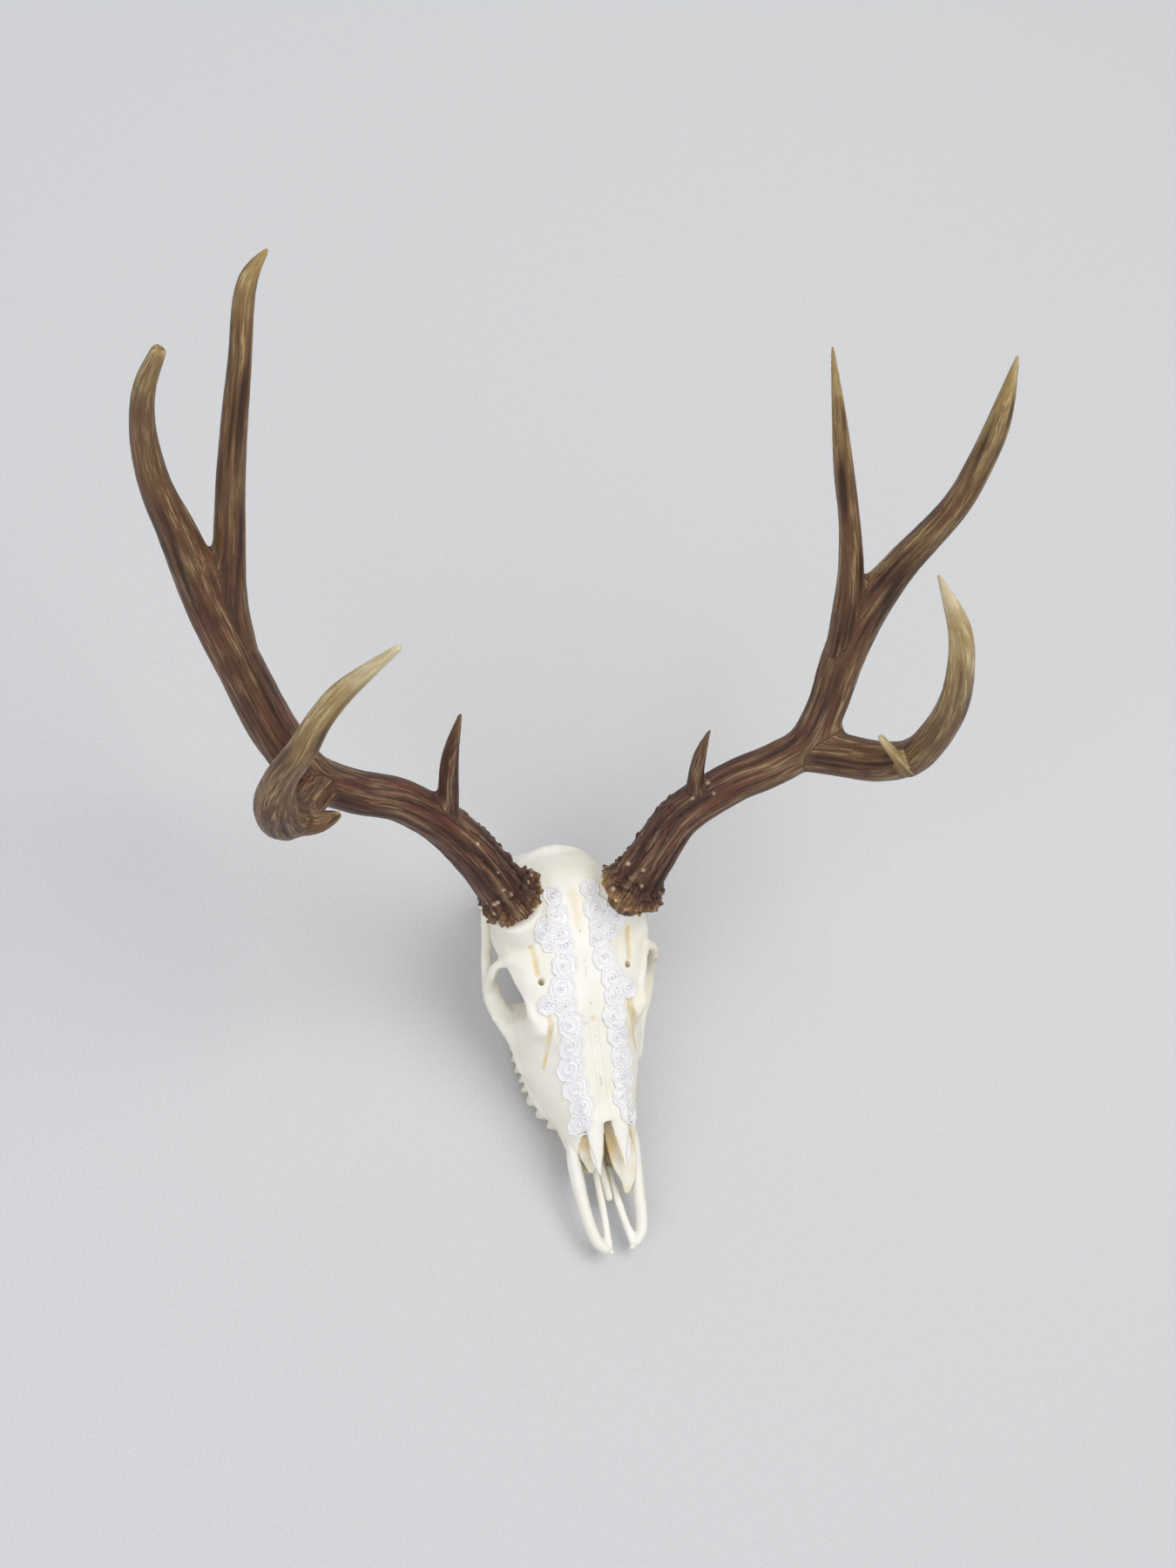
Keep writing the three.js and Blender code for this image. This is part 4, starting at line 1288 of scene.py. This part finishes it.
    def _add_base(self, form: Form, side: Side) -> None:
        """Adds one side of the skull's base: tooth ridge, palate wing, ear, condyle and processes.

        Args:
            form: The bodies of bone.
            side: The side of the head.
        """
        x = side.value
        form.tube(on_side(side, [(20, 93, 24, 4.5), (28, 108, 23, 7), (31, 132, 24, 9), (30, 158, 28, 8)]))
        form.tube(
            on_side(side, [(15, 146, 24, 6), (14, 164, 24, 4), (13, 182, 27, 3.6), (12, 198, 38, 5)]),
            wide=1.7, across=UP,
        )
        form.tube(on_side(side, self.jugular))
        form.ball((x * 24, 243, 42), (10, 13, 12))
        form.tube(on_side(side, [(26, 246, 52, 6), (40, 248, 58, 4.6)]))
        form.ball((x * 12.5, 270, 49), (9, 10, 12))
        form.tube(on_side(side, [(3, 266, 97, 4.6), (20, 262, 91, 4.6), (32, 254, 78, 5)]))
        form.tube(on_side(side, [(28, 238, 62, 10), (42, 238, 70, 5)]))

    def _hollows(self) -> Form:
        """All that is taken away: nose, palate vault, notches, slits, holes and the neck's opening."""
        form = Form()
        form.loft(self.nose_hollow, sides=40)
        form.tube([(0, 50, 1, 10), (0, 110, 3, 13), (0, 176, 6, 14)], sides=32)
        form.block((-40, 20, 18), (40, 62, 40), slope=4)
        form.block((-40, 20, 38), (40, 66, 56), slope=16)
        form.block((-40, 20, 54), (40, 82, 110), slope=-3)
        notch = [(0.7, 76, 50, 3.6), (0.7, 83, 57, 2.8), (0.6, 89, 67, 1.0)]
        form.tube(notch, sides=16, wide=0.7)  # between the nose bones
        form.tube([(0.4, 147, 100, 1.5), (0.4, 147, 86, 1.5)], sides=10)  # where they meet the forehead
        form.tube([(0, 262, 54, 8.5), (0, 292, 50, 8.5)], sides=32)  # the neck's opening
        for side in Side:
            x = side.value
            form.tube(on_side(side, self.slit), wide=self.slit_width[side], across=UP)
            form.tube(on_side(side, self.brow_hole), sides=12)
            form.tube(on_side(side, self.arch_gap), sides=14, wide=1.5, across=(0.3, 1.0, 0.0))
            form.ball((x * 26, 70, 58), (9, 12, 9))  # nostril's edge
            form.tube(on_side(side, [(24, 190, 62, 2.4), (10, 196, 64, 2.4)]), sides=12)  # optic nerve
            form.tube(on_side(side, [(24, 200, 54, 3), (10, 206, 58, 3)]), sides=12)
            form.tube(on_side(side, [(46, 250, 59, 2.4), (30, 247, 54, 2.4)]), sides=12)  # ear canal
            form.ball((x * 52, 144, 66), (8, 12, 12))  # gland pit in front of the eye
        return form

    def _mark(self, mesh: bpy.types.Mesh) -> None:
        """Shapes the fine forms of the bone and keeps stain, blush and seam for the finish.

        Args:
            mesh: The skull's skin.
        """
        skin = Surface(mesh)
        p, top = skin.points, skin.normals[:, 2]
        outward = np.abs(p[:, 0])
        folded = np.column_stack([outward, p[:, 1], p[:, 2]])
        groove = distance_to(folded, self.brow_groove)
        reach = np.interp(p[:, 1], (176, 199), (3.6, 1.4))
        dent = -1.3 * falloff(groove, 3.6) * (groove < reach * 1.6)
        midline = -0.35 * falloff(outward, 1.6) * (top > 0.5) * (p[:, 1] < 232)
        wave = 0.35 * rough_noise(p, (16.0, 16.0, 16.0)) + 0.12 * rough_noise(p, (4.0, 4.0, 4.0))
        skin.push(dent + midline + wave - 0.15)
        slit = distance_to(folded, self.slit) * np.where(p[:, 0] > 0, 1.0, 1.35)  # wider on the left
        hole = distance_to(folded, self.brow_hole)
        stain = np.maximum.reduce([
            0.95 * falloff(slit, np.interp(p[:, 2], (62, 84), (2.6, 4.2))) * (outward < 36),
            0.85 * falloff(groove, 3.6) * (groove < reach * 1.5),
            0.5 * falloff(hole, 4.5),
            0.8 * falloff(np.hypot(p[:, 0] - 0.4, p[:, 1] - 147), 2.8) * (top > 0.3),
            0.12 * np.clip((outward - 15.0) / 8.0, 0, 1),
            np.where(self._in_nose(p, skin.normals), 0.6, 0.0),
            0.16 * np.clip(rough_noise(p + 40.0, (26.0, 26.0, 26.0)), 0, 1),
        ])
        crown = np.interp(p[:, 1], (196, 208, 226, 240), (0, 0.35, 0.35, 0))
        wedge = falloff(outward, 6.0) * crown * (top > 0.5)
        bump = distance_to(skin.points, on_arch(Side.LEFT, [(60, 187, 78), (59, 189, 87)]))
        blush = 0.9 * falloff(bump, 8.0) * np.clip(0.5 + rough_noise(p, (3.0, 3.0, 3.0)), 0, 1)
        edge = np.interp(p[:, 1], *zip(*self.nasal_edge), right=-20.0)
        seam = np.where(p[:, 1] < self.nasion_y + 3, outward - edge, NO_SEAM)
        crack = np.where((p[:, 1] > 96) & (p[:, 1] < 204), outward, NO_SEAM)
        seam = np.where(outward < 3, crack, seam)
        skin.mark("stain", np.clip(np.maximum(stain, wedge), 0, 1))
        skin.mark("blush", blush)
        skin.mark("seam", np.where(top > 0.1, seam, NO_SEAM))

    def _in_nose(self, points: np.ndarray, normals: np.ndarray) -> np.ndarray:
        """Which corners of the skin line the hollow of the nose.

        Args:
            points: The corners.
            normals: The directions that they face.

        Returns:
            True or false for each corner.
        """
        x, at, z = points.T
        y, half, low, _, high = np.asarray(self.nose_hollow).T
        lining = (np.abs(x) < np.interp(at, y, half + 1.6)) & (at < 138)
        lining &= (z > np.interp(at, y, low) - 1.0) & (z < np.interp(at, y, high) + 1.2)
        inward = normals[:, 0] * np.sign(x) < 0.1
        return lining & ((inward & (normals[:, 2] < 0.75)) | (z < 26))


@dataclass
class NoseTip:
    """The two forks of bone at the tip of the nose, the bar between them and the plates above."""

    outer: Sequence[Point] = (
        (11, 5, 15, 3.2), (15.5, 10, 16, 3.8), (18.4, 20, 18, 4), (20, 36, 21, 4.2), (21, 54, 26, 4.8),
        (21.5, 70, 34, 4.6), (20, 86, 45, 3),
    )
    inner: Sequence[Point] = ((9, 6, 15, 3.0), (6.9, 22, 15.4, 2.5), (5.6, 40, 16, 2.5), (4.8, 58, 17, 2.4))
    tip: Sequence[Point] = ((15, 9.5, 15.4, 3.4), (11, 6, 14.6, 3.8), (7.6, 2.4, 13.8, 2.0))
    back: Sequence[Point] = ((10, 71, 42, 9.4), (10.6, 84, 48.5, 10), (14.5, 98, 52, 8))
    front: dict[Side, Sequence[Point]] = field(default_factory=lambda: {
        Side.LEFT: ((11, 39, 26.5, 2.6), (12.4, 46, 30.2, 5.4), (11.8, 57, 35.8, 9)),
        Side.RIGHT: ((12, 57, 33, 2.5), (10.4, 63, 37, 7.6)),
    })
    bar: Sequence[Point] = ((0, VOMER_TIP_Y, 17, 2.4), (0, 60, 18, 3), (0, 90, 21, 3), (0, 138, 27, 3))
    stained: dict[Side, float] = field(default_factory=lambda: {Side.LEFT: 0.3, Side.RIGHT: 0.75})
    ochre_below_z: float = 29.0  # under this height the plates are more ochre

    def build(self, finish: bpy.types.Material) -> list[bpy.types.Object]:
        """Makes the forks, the plates and the bar.

        Args:
            finish: The bone material.

        Returns:
            The pieces.
        """
        pieces = []
        for side in Side:
            fork, plate = f"premaxilla_{side.label}", f"turbinate_{side.label}"
            form = Form()
            form.tube(on_side(side, self.outer), wide=1.25, across=UP)
            form.tube(on_side(side, self.inner))
            form.tube(on_side(side, self.tip), wide=0.8, across=UP)
            mesh = fused(form.to_mesh("fork"), 0.75, 3)
            self._mark(mesh, 0.06)
            pieces.append(piece(mesh, fork, finish, [fork]))
            form = Form()
            form.tube(on_side(side, [*self.front[side], *self.back]), wide=0.24, across=UP, step=1.5)
            mesh = fused(form.to_mesh("plate"), 0.6, 2)
            self._mark(mesh, self.stained[side], ochre_below_z=self.ochre_below_z)
            pieces.append(piece(mesh, plate, finish, [plate]))
        form = Form()
        form.tube(self.bar, wide=1.6, across=UP)
        mesh = fused(form.to_mesh("bar"), 0.7, 2)
        self._mark(mesh, 0.12)
        pieces.append(piece(mesh, "vomer", finish, ["vomer"]))
        return pieces

    @staticmethod
    def _mark(mesh: bpy.types.Mesh, stained: float, ochre_below_z: float | None = None) -> None:
        """Roughens thin bone a little and marks how stained it is.

        Args:
            mesh: The bone's skin.
            stained: How ochre it is.
            ochre_below_z: Where given, the bone is more ochre under this height and near the midline.
        """
        skin = Surface(mesh)
        skin.push(0.16 * rough_noise(skin.points, (3.0, 3.0, 3.0)))
        x, y, z = skin.points.T
        stain = stained * (0.8 + 0.8 * rough_noise(skin.points, (7.0, 7.0, 7.0)))
        if ochre_below_z is not None:
            # More ochre low down, on faces turned down and along the gutter by the midline.
            deep = np.clip((ochre_below_z - z) / 5.0, 0, 1) * 0.55
            under = 0.5 * np.clip(-skin.normals[:, 2], 0, 1)
            gutter = np.clip((8.0 - np.abs(x)) / 4.0, 0, 1) * np.clip((y - 56) / 8, 0, 1)
            stain = stain + 0.65 * gutter + np.maximum(deep, under)
        skin.mark("stain", np.clip(stain, 0, 1))
        skin.mark("blush", np.zeros(len(skin.points)))
        skin.mark("seam", np.full(len(skin.points), NO_SEAM))


@dataclass
class CheekTeeth:
    """One side's row of upper cheek teeth, three premolars and three molars of two lobes."""

    side: Side
    start_y: float = 92.0
    gum_z: float = 27.0
    cell: float = 0.5
    sizes: Sequence[Point] = (  # length, half width, distance of the middle from the midline, lowest z
        (9, 4.4, 23, 4), (10, 5, 27.6, 1), (11, 5.6, 30.8, 0), (14, 6.6, 32.6, 0), (16, 7, 33.4, 0),
        (16, 6.6, 33, 0),
    )
    premolars: int = 3  # the first ones in the row, which have one lobe

    def build(self, finish: bpy.types.Material) -> bpy.types.Object:
        """Makes the row's piece.

        Args:
            finish: The tooth material.

        Returns:
            The piece.
        """
        crowns, folds = Form(), Form()
        y = self.start_y
        for i, (length, half, x, low) in enumerate(self.sizes):
            lobes = 1 if i < self.premolars else 2
            span = length / lobes
            for k in range(lobes):
                self._add_lobe(crowns, folds, x, y + span * (k + 0.5), span, half, low + 0.1)
            y += length
        whole, taken = crowns.to_mesh("crowns"), folds.to_mesh("folds")
        mesh = fused(carved(fused(whole, 0.55, 1), fused(taken, 0.55, 0)), self.cell, 1)
        skin = Surface(mesh)
        height = skin.points[:, 2] / self.gum_z
        # Browner on the faces turned down and towards the lowest part of the teeth.
        grooves = np.clip(-skin.normals[:, 2] - 0.3, 0, 1) + falloff(height, 0.3) * 0.2
        skin.mark("underside_brown", np.clip(grooves * (0.5 + rough_noise(skin.points, (2.5, 2.5, 2.5))), 0, 0.8))
        return piece(mesh, f"teeth_{self.side.label}", finish)

    def _add_lobe(
        self, crowns: Form, folds: Form, x: float, y: float, span: float, half: float, low: float
    ) -> None:
        """Adds one lobe: an outer and an inner column, with a worn hollow between their cusps.

        Args:
            crowns: The bodies of the teeth.
            folds: What is taken away.
            x: The distance of its middle from the midline.
            y: Its middle along the row.
            span: Its length along the row.
            half: Its half width.
            low: The height of its cusps.
        """
        s = self.side.value
        outer, inner = x + half * 0.42, x - half * 0.3
        crowns.tube(
            [(s * (outer - 1), y, self.gum_z, span * 0.44), (s * outer, y, 15, span * 0.46),
             (s * (outer + 0.8), y, low + 8, span * 0.34), (s * (outer + 2.0), y, low + 0.4, 0.6)],
            sides=14, step=1.5, round_ends=False,
        )
        crowns.tube(
            [(s * (inner + 1), y, self.gum_z, span * 0.5), (s * inner, y, 14, span * 0.52),
             (s * inner, y, low + 3.5, span * 0.42), (s * (inner + 0.4), y, low + 0.4, span * 0.2)],
            sides=14, step=1.5, round_ends=False,
        )
        folds.ball((s * (x + 0.4), y, low), (1.2, span * 0.34, 3.2), detail=2)


# ------------------------------------------------------------------------------------------------
# Lace


RING_STEPS = 48  # of a whole ring
TURN_STEPS = 20  # of one turn of a scroll


@dataclass(frozen=True)
class Rosette:
    """One round motif of the lace, in plan: x is counted outwards from the midline."""

    x: float
    y: float
    size: float
    way: int  # 1 or -1, the way that its scroll turns
    turn: float

    def spot(self, radius: float, angle: float) -> Spot:
        """The place at a distance from its middle and in a direction."""
        return self.x + radius * math.cos(angle), self.y + radius * math.sin(angle)


@dataclass
class LaceStrip:
    """One strip of corded and beaded lace that is stuck to the bone beside the midline."""

    side: Side
    ground: BVHTree  # the bone, in the skull's own frame
    seed: int
    plan: Sequence[Point] = (  # y, distance of the strip's middle from the midline, half width
        (80, 18, 6.5), (94, 14.5, 7.5), (107, 15.5, 8), (119, 19, 8.5), (131, 16, 7.5),
        (146, 15.5, 8.5), (162, 23, 12), (172, 18, 8.5), (182, 13.5, 8.5), (192, 14.5, 9),
        (205, 20, 12.5), (217, 14, 9.5), (227, 13, 7), (235, 12, 5),
    )
    start_y: float = 80.0
    end_y: float = 235.0
    reach: float = 36.0  # how far from the midline the net is cut
    cell: float = 0.75
    thick: float = 0.3
    net_lift: float = 0.42  # off the bone
    cord_lift: float = 0.85
    bead_lift: float = 0.55
    edge_z: float = 60.0  # the height of what reaches past the bone
    cord: float = 0.66  # radius
    abreast: float = 10.2  # from this half width on, two motifs lie abreast
    largest: float = 7.6  # radius of a motif
    scroll: tuple[float, float] = (1.5, 0.28)  # turns, and where it ends as a share of the motif
    motifs: list[Rosette] = field(init=False, default_factory=list)

    def build(
        self,
        cloth: bpy.types.Material,
        thread: bpy.types.Material,
        glass: bpy.types.Material,
        skull: bpy.types.Object,
    ) -> list[bpy.types.Object]:
        """Makes the ground, the cords and the beads.

        Args:
            cloth: The finish of the ground.
            thread: The finish of the cords.
            glass: The finish of the beads.
            skull: The piece that the lace lies on; not used.

        Returns:
            The pieces.
        """
        rng = random.Random(self.seed)
        self._arrange(rng)
        name = f"lace_{self.side.label}"
        net, area = self._net()
        ground = piece(net, name, cloth, [name])
        cords_mesh, beads_mesh = self._ornament(rng)
        cords = piece(cords_mesh, f"{name}_cords", thread)
        beads = piece(beads_mesh, f"{name}_beads", glass)
        LOG.info("%s: flat area %.5f m2", name, area)
        return [ground, cords, beads]

    def _spread(self, y: float) -> tuple[float, float]:
        """The strip's middle and half width at a place along the head."""
        table = np.asarray(self.plan)
        return float(np.interp(y, table[:, 0], table[:, 1])), float(np.interp(y, table[:, 0], table[:, 2]))

    def _arrange(self, rng: random.Random) -> None:
        """Sets out the rosettes: one after the other, and two abreast where the strip is wide."""
        y, way = self.start_y + 5.5, 1
        while y < self.end_y - 2:
            middle, half = self._spread(y)
            turn = rng.uniform(0, math.tau)
            if half > self.abreast:
                size, step = half * 0.5 - 0.2, 1.62
                for place in (-1, 1):
                    x = middle + place * (size + 0.2)
                    self.motifs.append(Rosette(x, y + place * 1.6, size, place, turn))
            else:
                size, step = min(half - 0.8, self.largest), 1.78
                self.motifs.append(Rosette(middle + way * (half - size) * 0.6, y, size, way, turn))
            y += size * step
            way = -way

    def _covers(self, x: float, y: float) -> bool:
        """Whether the strip's cut, with its scalloped edge, covers a place in plan."""
        if not self.start_y <= y <= self.end_y:
            return False
        middle, half = self._spread(y)
        if abs(x - middle) < half * 0.5:
            return True
        return any(math.hypot(x - m.x, y - m.y) < m.size + 0.7 for m in self.motifs)

    def drop(self, x: float, y: float, lift: float) -> Vector:
        """Drops a point on the bone.

        Args:
            x: Its distance from the midline.
            y: Its place along the head.
            lift: How far it stays off the bone.

        Returns:
            The point.
        """
        above = Vector((x * self.side.value, y, ABOVE_Z))
        hit, normal, _, _ = self.ground.ray_cast(above, Vector((0, 0, -1)))
        if hit is None:
            return Vector((x * self.side.value, y, self.edge_z))
        return hit + normal * lift

    def _net(self) -> tuple[bpy.types.Mesh, float]:
        """The net that the cords are sewn to, cut along the motifs and draped on the bone.

        Returns:
            The mesh, and the cut's flat area in square metres.
        """
        form = Form()
        long = self.end_y - self.start_y
        across, ahead = round(self.reach / self.cell), round(long / self.cell)
        bmesh.ops.create_grid(form.bm, x_segments=across, y_segments=ahead, size=1.0)
        for vert in form.bm.verts:
            x = (vert.co.x + 1) / 2 * self.reach
            vert.co = Vector((x, self.start_y + (vert.co.y + 1) / 2 * long, 0))
        outside = [f for f in form.bm.faces if not self._covers(*f.calc_center_median().xy)]
        bmesh.ops.delete(form.bm, geom=outside, context="FACES")
        edge = [v for v in form.bm.verts if v.is_boundary]
        for _ in range(2):
            bmesh.ops.smooth_vert(form.bm, verts=edge, factor=0.5, use_axis_x=True, use_axis_y=True)
        for vert in form.bm.verts:
            vert.co = self.drop(vert.co.x, vert.co.y, self.net_lift)
        area = sum(f.calc_area() for f in form.bm.faces) * 1e-6
        mesh = form.to_mesh("net")
        if Surface(mesh).normals[:, 2].mean() < 0:
            mesh.flip_normals()

        def add(carrier: bpy.types.Object) -> None:
            """Gives the net its thickness."""
            thick = carrier.modifiers.new("thick", "SOLIDIFY")
            thick.thickness = self.thick
            thick.offset = 0.0

        return modified(mesh, add), area

    @staticmethod
    def _ring(motif: Rosette, reach: float, petals: int, depth: float) -> list[Spot]:
        """A closed line round a motif, in petals.

        Args:
            motif: The motif.
            reach: The line's mean radius.
            petals: How many petals it has.
            depth: How far they stand out.

        Returns:
            Its points in plan.
        """
        points = []
        for i in range(RING_STEPS + 1):
            angle = i / RING_STEPS * math.tau
            radius = reach + depth * (abs(math.sin(petals * angle / 2)) - 0.6)
            points.append(motif.spot(radius, angle + motif.turn))
        return points

    def _scroll(self, motif: Rosette) -> list[Spot]:
        """A spiral in a motif, from the outside in."""
        turns, inner = self.scroll
        count = int(TURN_STEPS * turns)
        points = []
        for i in range(count + 1):
            share = i / count
            radius = motif.size * (0.8 - (0.8 - inner) * share)
            points.append(motif.spot(radius, motif.turn + motif.way * share * turns * math.tau))
        return points

    def _ornament(self, rng: random.Random) -> tuple[bpy.types.Mesh, bpy.types.Mesh]:
        """Lays the cords and sews on the beads.

        Args:
            rng: The source of all chance.

        Returns:
            The mesh of the cords and the mesh of the beads.
        """
        cords, beads = Form(), Form()
        glint_tints: list[float] = []
        for motif in self.motifs:
            petals = 8 if motif.size > 5 else 6
            self._lay(cords, self._ring(motif, motif.size + 0.35, petals, 0.9), self.cord * 1.1)
            line = self._scroll(motif)
            self._lay(cords, line, self.cord)
            for k in range(petals):
                if rng.random() < 0.3:
                    spot = motif.spot(motif.size, motif.turn + (k + 0.5) * math.tau / petals)
                    self._bead(beads, glint_tints, spot, rng.uniform(0.55, 0.75), rng)
            for i in range(4, len(line), 5):
                if rng.random() < 0.4:
                    self._bead(beads, glint_tints, line[i], rng.uniform(0.6, 0.85), rng, 0.6)
            self._bead(beads, glint_tints, (motif.x, motif.y), 1.35, rng)
        for a, b in zip(self.motifs[:-1], self.motifs[1:]):
            middle = ((a.x + b.x) / 2, (a.y + b.y) / 2)
            for k in (-1, 1):
                leaf = Rosette(middle[0] + k * 2.4, middle[1] + k * 0.8, 2.0, k, a.turn)
                self._lay(cords, self._ring(leaf, 1.5, 3, 0.5), self.cord * 0.8)
            self._bead(beads, glint_tints, middle, 0.9, rng)
        mesh = beads.to_mesh("beads")
        per_bead = len(mesh.vertices) // len(glint_tints)
        # Each bead's painted glint colour, the same on all its corners.
        Surface(mesh).mark("tint", np.repeat(np.asarray(glint_tints), per_bead))
        return cords.to_mesh("cords"), mesh

    def _lay(self, form: Form, line: Sequence[Spot], radius: float) -> None:
        """Lays a cord.

        Args:
            form: The cords.
            line: Its line in plan.
            radius: Its radius.
        """
        path = np.array([(*self.drop(x, y, self.cord_lift), radius) for x, y in line])
        for _ in range(2):
            path[1:-1, 2] = (path[:-2, 2] + 2 * path[1:-1, 2] + path[2:, 2]) / 4
        form.tube([tuple(p) for p in path], sides=7, step=0.9)

    def _bead(
        self,
        form: Form,
        glint_tints: list[float],
        spot: Spot,
        radius: float,
        rng: random.Random,
        lift: float = 0.0,
    ) -> None:
        """Sews on one bead and draws the colour of its painted glint.

        Args:
            form: The beads.
            glint_tints: The tints of the beads so far.
            spot: Where it lies in plan.
            radius: Its radius.
            rng: The source of its painted glint colour.
            lift: How much higher it lies than on the net.
        """
        place = self.drop(*spot, self.bead_lift + radius * 0.7 + lift)
        form.ball(place, (radius, radius, radius * 0.8), detail=2)
        glint_tints.append(rng.random())


def bone_ground(skull: bpy.types.Object) -> BVHTree:
    """The finished skull as a tree to drop points on, in the skull's own frame."""
    surface = bmesh.new()
    surface.from_mesh(skull.data)
    surface.transform(row_matrix().inverted())
    ground = BVHTree.FromBMesh(surface)
    surface.free()
    return ground


# ------------------------------------------------------------------------------------------------
# Studio


@dataclass(frozen=True)
class Lamp:
    """A square soft light that faces the skull."""

    name: str
    at: Point
    size: float  # of its side
    watts: float
    colour: Colour


@dataclass(frozen=True)
class Studio:
    """The floor, the lights and the camera, in metres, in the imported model's frame."""

    camera_at: Point = (-0.4537, -0.4343, 1.7089)
    right: Point = (0.9413, -0.2570, 0.2189)
    up: Point = (0.1745, 0.9255, 0.3362)
    lens: float = 58.48  # millimetres
    sensor: float = 36.0
    sight: float = 50.0  # how far the camera sees
    floor_half: float = 6.0
    aim: Point = (0.0, 0.0, 0.15)  # what the lights face
    lamps: Sequence[Lamp] = (
        Lamp("key", (0.8, 0.0, 2.3), 1.7, 31.0, (1.0, 0.985, 0.96)),
        Lamp("fill", (-1.8, -1.1, 1.9), 2.4, 27.0, (0.96, 0.98, 1.0)),
        Lamp("back", (-0.2, 2.3, 1.6), 1.6, 8.0, (1.0, 1.0, 1.0)),
    )
    sky: Colour = (0.93, 0.95, 1.0)
    sky_strength: float = 0.5

    def build(self) -> None:
        """Sets up everything that isn't the object."""
        self._floor()
        self._camera()
        for lamp in self.lamps:
            self._light(lamp)
        world = bpy.data.worlds.new("studio")
        world.use_nodes = True
        background = world.node_tree.nodes["Background"]
        background.inputs["Color"].default_value = (*self.sky, 1.0)
        background.inputs["Strength"].default_value = self.sky_strength
        bpy.context.scene.world = world
        bpy.context.scene.view_settings.view_transform = "Standard"

    def _floor(self) -> None:
        """A wide pale floor."""
        form = Form()
        bmesh.ops.create_grid(form.bm, x_segments=8, y_segments=8, size=self.floor_half)
        mesh = bpy.data.meshes.new("floor")
        form.bm.to_mesh(mesh)
        form.bm.free()
        mesh.materials.append(FloorFinish().build())
        floor = bpy.data.objects.new("floor", mesh)
        bpy.context.scene.collection.objects.link(floor)

    def _camera(self) -> None:
        """The camera, which looks down on the skull from over its nose."""
        data = bpy.data.cameras.new("camera")
        data.lens = self.lens
        data.sensor_width = self.sensor
        data.clip_end = self.sight
        camera = bpy.data.objects.new("camera", data)
        right, up = Vector(self.right).normalized(), Vector(self.up)
        back = right.cross(up).normalized()
        up = back.cross(right)
        turn = Matrix((right, up, back)).transposed()
        camera.matrix_world = Matrix.Translation(self.camera_at) @ turn.to_4x4()
        bpy.context.scene.collection.objects.link(camera)
        bpy.context.scene.camera = camera

    def _light(self, lamp: Lamp) -> None:
        """Hangs up a lamp."""
        data = bpy.data.lights.new(lamp.name, "AREA")
        data.shape = "SQUARE"
        data.size = lamp.size
        data.energy = lamp.watts
        data.color = lamp.colour
        light = bpy.data.objects.new(lamp.name, data)
        light.location = lamp.at
        ray = Vector(self.aim) - Vector(lamp.at)
        light.rotation_euler = ray.to_track_quat("-Z", "Y").to_euler()
        bpy.context.scene.collection.objects.link(light)


def main() -> None:
    """Builds the skull, its antlers and lace, and the studio."""
    logging.basicConfig(level=logging.INFO, format="%(name)s: %(message)s")
    bone = BoneFinish().build()
    enamel = ToothFinish().build()
    antler = AntlerFinish().build()
    skull = Cranium().build(bone)
    NoseTip().build(bone)
    for side in Side:
        CheekTeeth(side).build(enamel)
    left_antler().build(antler)
    right_antler().build(antler)
    ground = bone_ground(skull)
    cloth = LaceFinish("lace_net", twist=1400.0).build()
    thread = LaceFinish(
        "lace_cord", white=(0.95, 0.94, 0.94), shade=(0.91, 0.90, 0.905), twist=1800.0
    ).build()
    glass = BeadFinish().build()
    for side, seed in ((Side.LEFT, 5), (Side.RIGHT, 8)):
        LaceStrip(side, ground, seed).build(cloth, thread, glass, skull)
    Studio().build()


if __name__ == "__main__":
    main()
